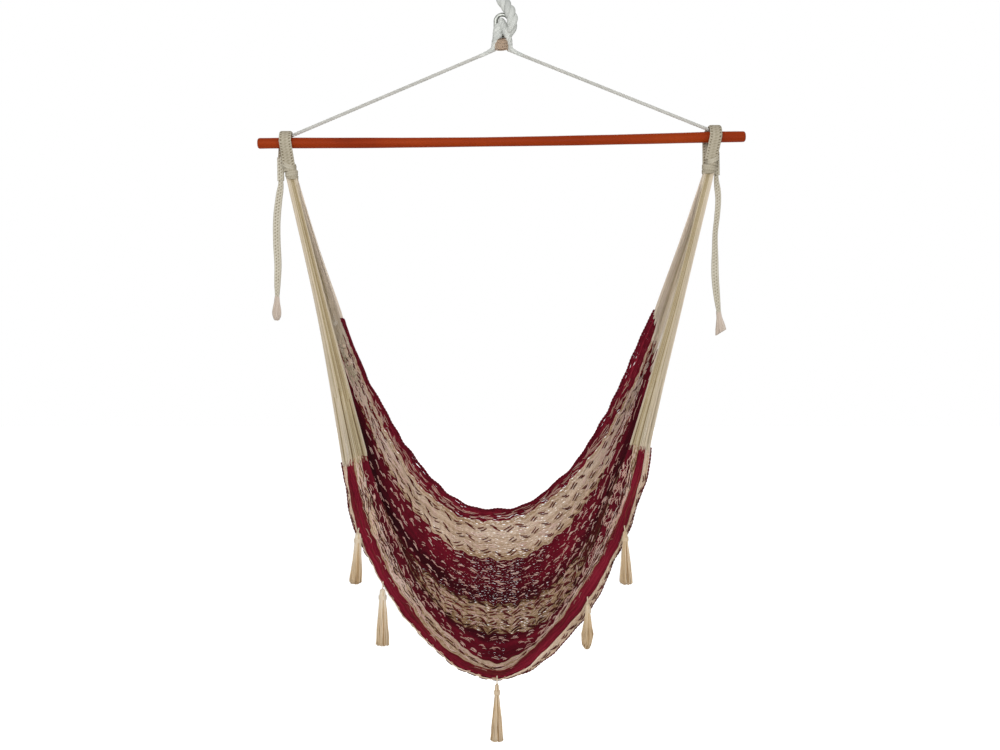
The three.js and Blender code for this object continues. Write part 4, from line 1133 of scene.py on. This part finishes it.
def sew_net(sew):
    """The contrasting cords of each band. sew gives the pile and the weave for a band and a kind of cord."""
    b1, t1, b2, t2, b3, t3, b4, t4 = [band.name for band in BANDS]
    for u, pitch, thick, tone, skip in ((0.35, 30, 0.8, 0.35, 0.2), (0.7, 26, 0.9, 0.45, 0.1)):
        clusters(*sew(b1, "pale"), u=u, pitch=pitch, length=22, thick=thick, tone=tone, skip=skip,
                 reach=BETWEEN_ARMS)
    for u, thick, tone in ((0.2, 1.25, 0.5), (0.52, 1.1, 0.45), (0.84, 1.25, 0.45)):
        paired_dashes(*sew(t1, "dark"), u=u, pitch=27.5, length=15, thick=thick, gap=5, tone=tone, skip=0.06,
                      zigzag=0.3)
    clusters(*sew(t1, "pale"), u=0.36, pitch=29, length=14, thick=0.8, tone=0.9, skip=0.3)
    clusters(*sew(t1, "pale"), u=0.68, pitch=27, length=14, thick=0.8, tone=0.9, skip=0.3)
    for arm in (LEFT_ARM, RIGHT_ARM):
        streaks(*sew(t1, "dark"), count=16, reach=arm, length=62, thick=1.0, tone=0.8)
        streaks(*sew(t1, "pale"), count=26, reach=arm, length=90, thick=0.9, tone=0.9)
        streaks(*sew(b2, "pale"), count=10, reach=arm, length=46, thick=0.8, tone=0.4, wander=3.5)
        streaks(*sew(t2, "dark"), count=70, reach=arm, length=46, thick=1.3, tone=0.3)
        streaks(*sew(t2, "pale"), count=7, reach=arm, length=40, thick=0.8, tone=0.4)
        streaks(*sew(t3, "dark"), count=30, reach=arm, length=60, thick=0.9, tone=0.3, wander=1.2)
        streaks(*sew(t3, "pale"), count=14, reach=arm, length=70, thick=0.9, tone=0.8)
        streaks(*sew(b3, "pale"), count=8, reach=arm, length=36, thick=0.8, tone=0.5)
    curls(*sew(t1, "cream"), count=9, reach=(0.03, 0.09), length=14, size=7, thick=1.3, tone=0.7)
    for u in (0.1, 0.3, 0.5, 0.7, 0.9):
        clusters(*sew(b2, "pale"), u=u, pitch=27, length=11, thick=0.9, tone=0.6, skip=0.08,
                 reach=(0.14, 0.88))
    dots(*sew(b2, "pale"), reach=(0.3, 0.78), rows=12, pitch=7, size=2.6, thick=0.5, tone=0.45)
    dots(*sew(t2, "pale"), reach=(0.3, 0.8), rows=9, pitch=8, size=4, thick=0.6, tone=0.7)
    for u, tone in ((0.06, 0.25), (0.34, 0.45), (0.64, 0.45), (0.92, 0.2)):
        paired_dashes(*sew(t2, "dark"), u=u, pitch=26, length=17, thick=1.6, gap=5, tone=tone, zigzag=0.4)
    for u in (0.22, 0.5, 0.78):
        clusters(*sew(t2, "dark"), u=u, pitch=25, length=10, thick=1.0, tone=0.5, spread=6)
        clusters(*sew(t2, "pale"), u=u, pitch=25, length=12, thick=0.8, tone=0.75, spread=6, reach=(0.1, 0.8))
    for u in (0.18, 0.5, 0.82):
        clusters(*sew(b3, "pale"), u=u, pitch=26, length=12, thick=0.9, tone=0.55, skip=0.12)
    paired_dashes(*sew(t3, "dark"), u=0.5, pitch=29, length=22, thick=1.2, gap=7, tone=0.35, skip=0.1,
                  zigzag=0.3)
    clusters(*sew(t3, "pale"), u=0.3, pitch=22, length=16, thick=0.8, tone=0.8, spread=7)
    clusters(*sew(t3, "pale"), u=0.75, pitch=24, length=16, thick=0.8, tone=0.8, spread=6)
    curls(*sew(t3, "pale"), count=11, reach=(0.1, 0.42), length=20, size=6, thick=1.0, tone=0.85)
    curls(*sew(t3, "pale"), count=4, reach=(0.8, 0.92), length=22, size=7, thick=1.1, tone=0.7)
    clusters(*sew(b4, "pale"), u=0.3, pitch=60, length=14, thick=0.9, tone=0.2, skip=0.4, most=2)
    streaks(*sew(b4, "dark"), count=34, reach=(0.05, 0.95), length=70, thick=0.9, tone=0.75, wander=1.2)
    paired_dashes(*sew(t4, "dark"), u=0.5, pitch=25, length=15, thick=1.2, gap=6, tone=0.4)


def make_net():
    kinds = {"pale": ("fleck_pale", "tan_cord"), "dark": ("fleck_dark", "burgundy_cord"),
             "cream": ("cream_cotton", "cream_cotton")}
    weaves = {band.name: Weave(band.first) for band in BANDS}
    woven = {band.name: weave_band(band, weaves[band.name]) for band in BANDS}
    stitches = {}
    sew_net(lambda name, kind: (stitches.setdefault((name, kind), Pile()), weaves[name]))
    for name, pieces in woven.items():
        extra = pieces[1:]
        for (band, kind), pile in stitches.items():
            if band == name:
                extra.append(pile.make(f"{name}_{kind}_flecks", kinds[kind][0], "net", kinds[kind][1]))


def make_edges():
    s = np.linspace(0, 1, 420)
    edges = [
        ("back_selvage", "back_edge_cord", Weave(0), 0.0, -1),
        ("front_selvage", "front_edge_cord", Weave(None), 1.0, 1),
    ]
    for name, node, weave, u, outward in edges:
        across, _ = sheet_frame(weave.place, np.full_like(s, u), s)
        path, out = weave.at(u, s)
        pile = Pile()
        laid_rope(pile, path + across * outward * 2.8, 2.2, 2, 15, 5, tones=[0.32, 0.5], first=out[0])
        pile.make(name, "burgundy_cord", "net", "burgundy_cord", [node])


STRING_TONES = [  # across each fan, from its first string to its last
    0.80, 0.72, 0.76, 0.62, 0.66, 0.40, 0.34, 0.38, 0.56, 0.34, 0.62, 0.74, 0.66, 0.78, 0.72, 0.84,
]
STRING_RADIUS = 1.3
FRONT_BOW = {"left": (-5, 8), "right": (-7, 2)}  # of its innermost string and its outermost one


def make_strings(side, knot_x, knot_foot):
    """The cotton strings from the knot to the net's end, in a front and a back row."""
    sign = SIGN[side]
    end = 0.0 if sign < 0 else 1.0
    net, hem = Weave(0), Weave(None)
    # Each string's end: the surface it lies on, its line or share across it, and how far in it reaches
    front = [(net, line, 0.014) for line in np.linspace(3.0, 6.96, 42)]
    front += [(hem, u, 0.012) for u in np.linspace(0.06, 0.96, 9)]
    back = [(net, line, 0.02) for line in np.linspace(0.06, 0.98, 10)]
    back += [(net, line, 0.06 if k % 2 else 0.014) for k, line in enumerate(np.linspace(1.02, 1.98, 26))]
    back += [(net, line, 0.022) for line in np.linspace(2.03, 3.3, 26)]
    # the last column is painted light: the back row's tone is raised by 0.34 where it lies in the front fan's
    # shadow
    rows = [("front", -4.5, front, FRONT_BOW[side], 0, 0), ("back", 4.5, back, (0, 0), 14, 0.34)]
    for name, row_y, ends, bow, forward, painted_light in rows:
        pile = Pile()
        for k, (weave, u, reach) in enumerate(ends):
            share = k / (len(ends) - 1)
            layer = k % 2 * 2 - 1
            inside = reach * (0.25 + 0.75 * rng.random())
            places = np.abs(end - np.array([0.0, 0.5, 1.0]) * inside)
            last, _ = weave.at(u, places, np.array([1.0 + 0.8 * layer, 1.8, 0.4]), share=weave is hem)
            start = bar_frame([knot_x + sign * (share - 0.5) * 20, row_y + layer * 2.2, knot_foot + 3])
            inward = bow[0] + (bow[1] - bow[0]) * share
            middle = (start + last[0]) / 2 + np.array([-sign * inward, 1.6 * layer - forward, 0])
            middle += 0.8 * (rng.random(3) - 0.5)
            path = smooth_curve(np.vstack([start, middle, last]), 44)
            tone = np.interp(share, np.linspace(0, 1, len(STRING_TONES)), STRING_TONES)
            # every seventh string is painted 0.3 dimmer, as a thin line of shadow between groups of strings
            tone += painted_light + 0.20 * (rng.random() - 0.5) - (0.3 if k % 7 == 3 else 0)
            pile.tube(path, STRING_RADIUS, 5, up=(0, 1, 0), tone=np.clip(tone, 0, 1))
        pile.make(f"{side}_{name}_fan", "cream_cotton", "net", "cream_cotton", [f"{side}_{name}_strings"])


# Tassels

Tassel = namedtuple("Tassel", "place length width stand_off drop lean shape whiteness close")
TASSELS = [
    # skirt's shape: its width as a share, from under the head to the foot; close: how much its foot rounds in
    Tassel(0.124, 104, 27, 11, 8, -5, (0.5, 0.62, 0.82, 1.0), 0.40, 0.08),
    Tassel(0.228, 114, 29, 10, 13, 0, (0.46, 0.66, 0.85, 1.0), 0.34, 0.04),
    Tassel(0.498, 114, 28, 2, 15, 0, (0.3, 0.55, 0.8, 1.0), 0.12, 0.04),
    Tassel(0.713, 92, 26, 14, 11, -2, (0.34, 0.62, 1.0, 0.72), 0.14, 0.16),
    Tassel(0.853, 108, 28, 14, 9, 2, (0.36, 0.62, 0.84, 1.0), 0.10, 0.07),
]
TASSEL_STRANDS = 84


def make_tassels():
    for number, tassel in enumerate(TASSELS, 1):
        last = np.array([float(LAST_LINE)])
        place = np.array([tassel.place])
        across, _ = sheet_frame(net_at, last, place)
        tie = net_at(last, place)[0] + across[0] * 0.9
        top = tie + np.array([0, -tassel.stand_off, -tassel.drop])
        way = unit(top - tie)
        pile = Pile()
        path = even(np.array([tie + np.array([0, 2, 3]), tie, top - way * 1.0]), 22)
        laid_rope(pile, path, 1.5, 2, 6, 5, tones=[0.9, 0.75], first=(1, 0, 0))
        thread = [f"tassel_{number}_thread"]
        pile.make(f"tassel_{number}_tie", "tassel_cotton", "net", "tassel_cotton", thread)

        pile = Pile()
        shares = np.linspace(0, 1, 20)
        reach = tassel.width / 2 * 0.93
        neck_share = 0.94 * tassel.shape[0]
        widths = [0.8 * neck_share, neck_share, *tassel.shape]
        swell = np.interp(shares, [0, 0.1, 0.2, 0.45, 0.75, 1], widths)
        for k in range(TASSEL_STRANDS):
            turn, far = GOLDEN_TURN * k, math.sqrt((k + 0.5) / TASSEL_STRANDS)
            wave = 0.5 * np.sin(TAU * (1.5 + rng.random()) * shares + TAU * rng.random()) * shares
            own = tassel.length * (1 - 0.03 * rng.random() - tassel.close * far ** 3) - 0.9
            x = top[0] + far * reach * swell * math.cos(turn) + wave + tassel.lean * shares ** 1.6
            y = top[1] + far * reach * swell * math.sin(turn) + wave * 0.7
            z = top[2] + 3.4 * (1 - far * far) - shares * own
            tone = 0.34 + 0.42 * rng.random() + tassel.whiteness * (1 - shares) ** 1.5
            if k % 6 == 0:
                tone = tone - 0.34
            pile.tube(np.stack([x, y, z], axis=1), 1.1, 5, up=(0, 1, 0), tone=np.clip(tone, 0, 1))
        # The wrapping under the head
        turns = np.linspace(0, 4, 4 * 24)
        neck = neck_share * reach + 1.5
        wrap = np.stack([top[0] + neck * np.cos(TAU * turns), top[1] + neck * np.sin(TAU * turns),
                         top[2] - 0.14 * tassel.length - turns * 1.9 + 6], axis=1)
        pile.tube(wrap, 1.0, 6, up=(0, 0, 1), tone=0.7 + tassel.whiteness / 2)
        body = f"tassel_{number}"
        pile.make(f"{body}_skirt", "tassel_cotton", body, "tassel_cotton", [body])


# Everything

make_suspension()
make_rope()
make_apex()
make_bar()
for each in ("left", "right"):
    make_strap(each)
    foot_x, foot_z = make_knot(each)
    make_tail(each, foot_z)
    make_strings(each, foot_x, foot_z)
make_net()
make_edges()
make_tassels()
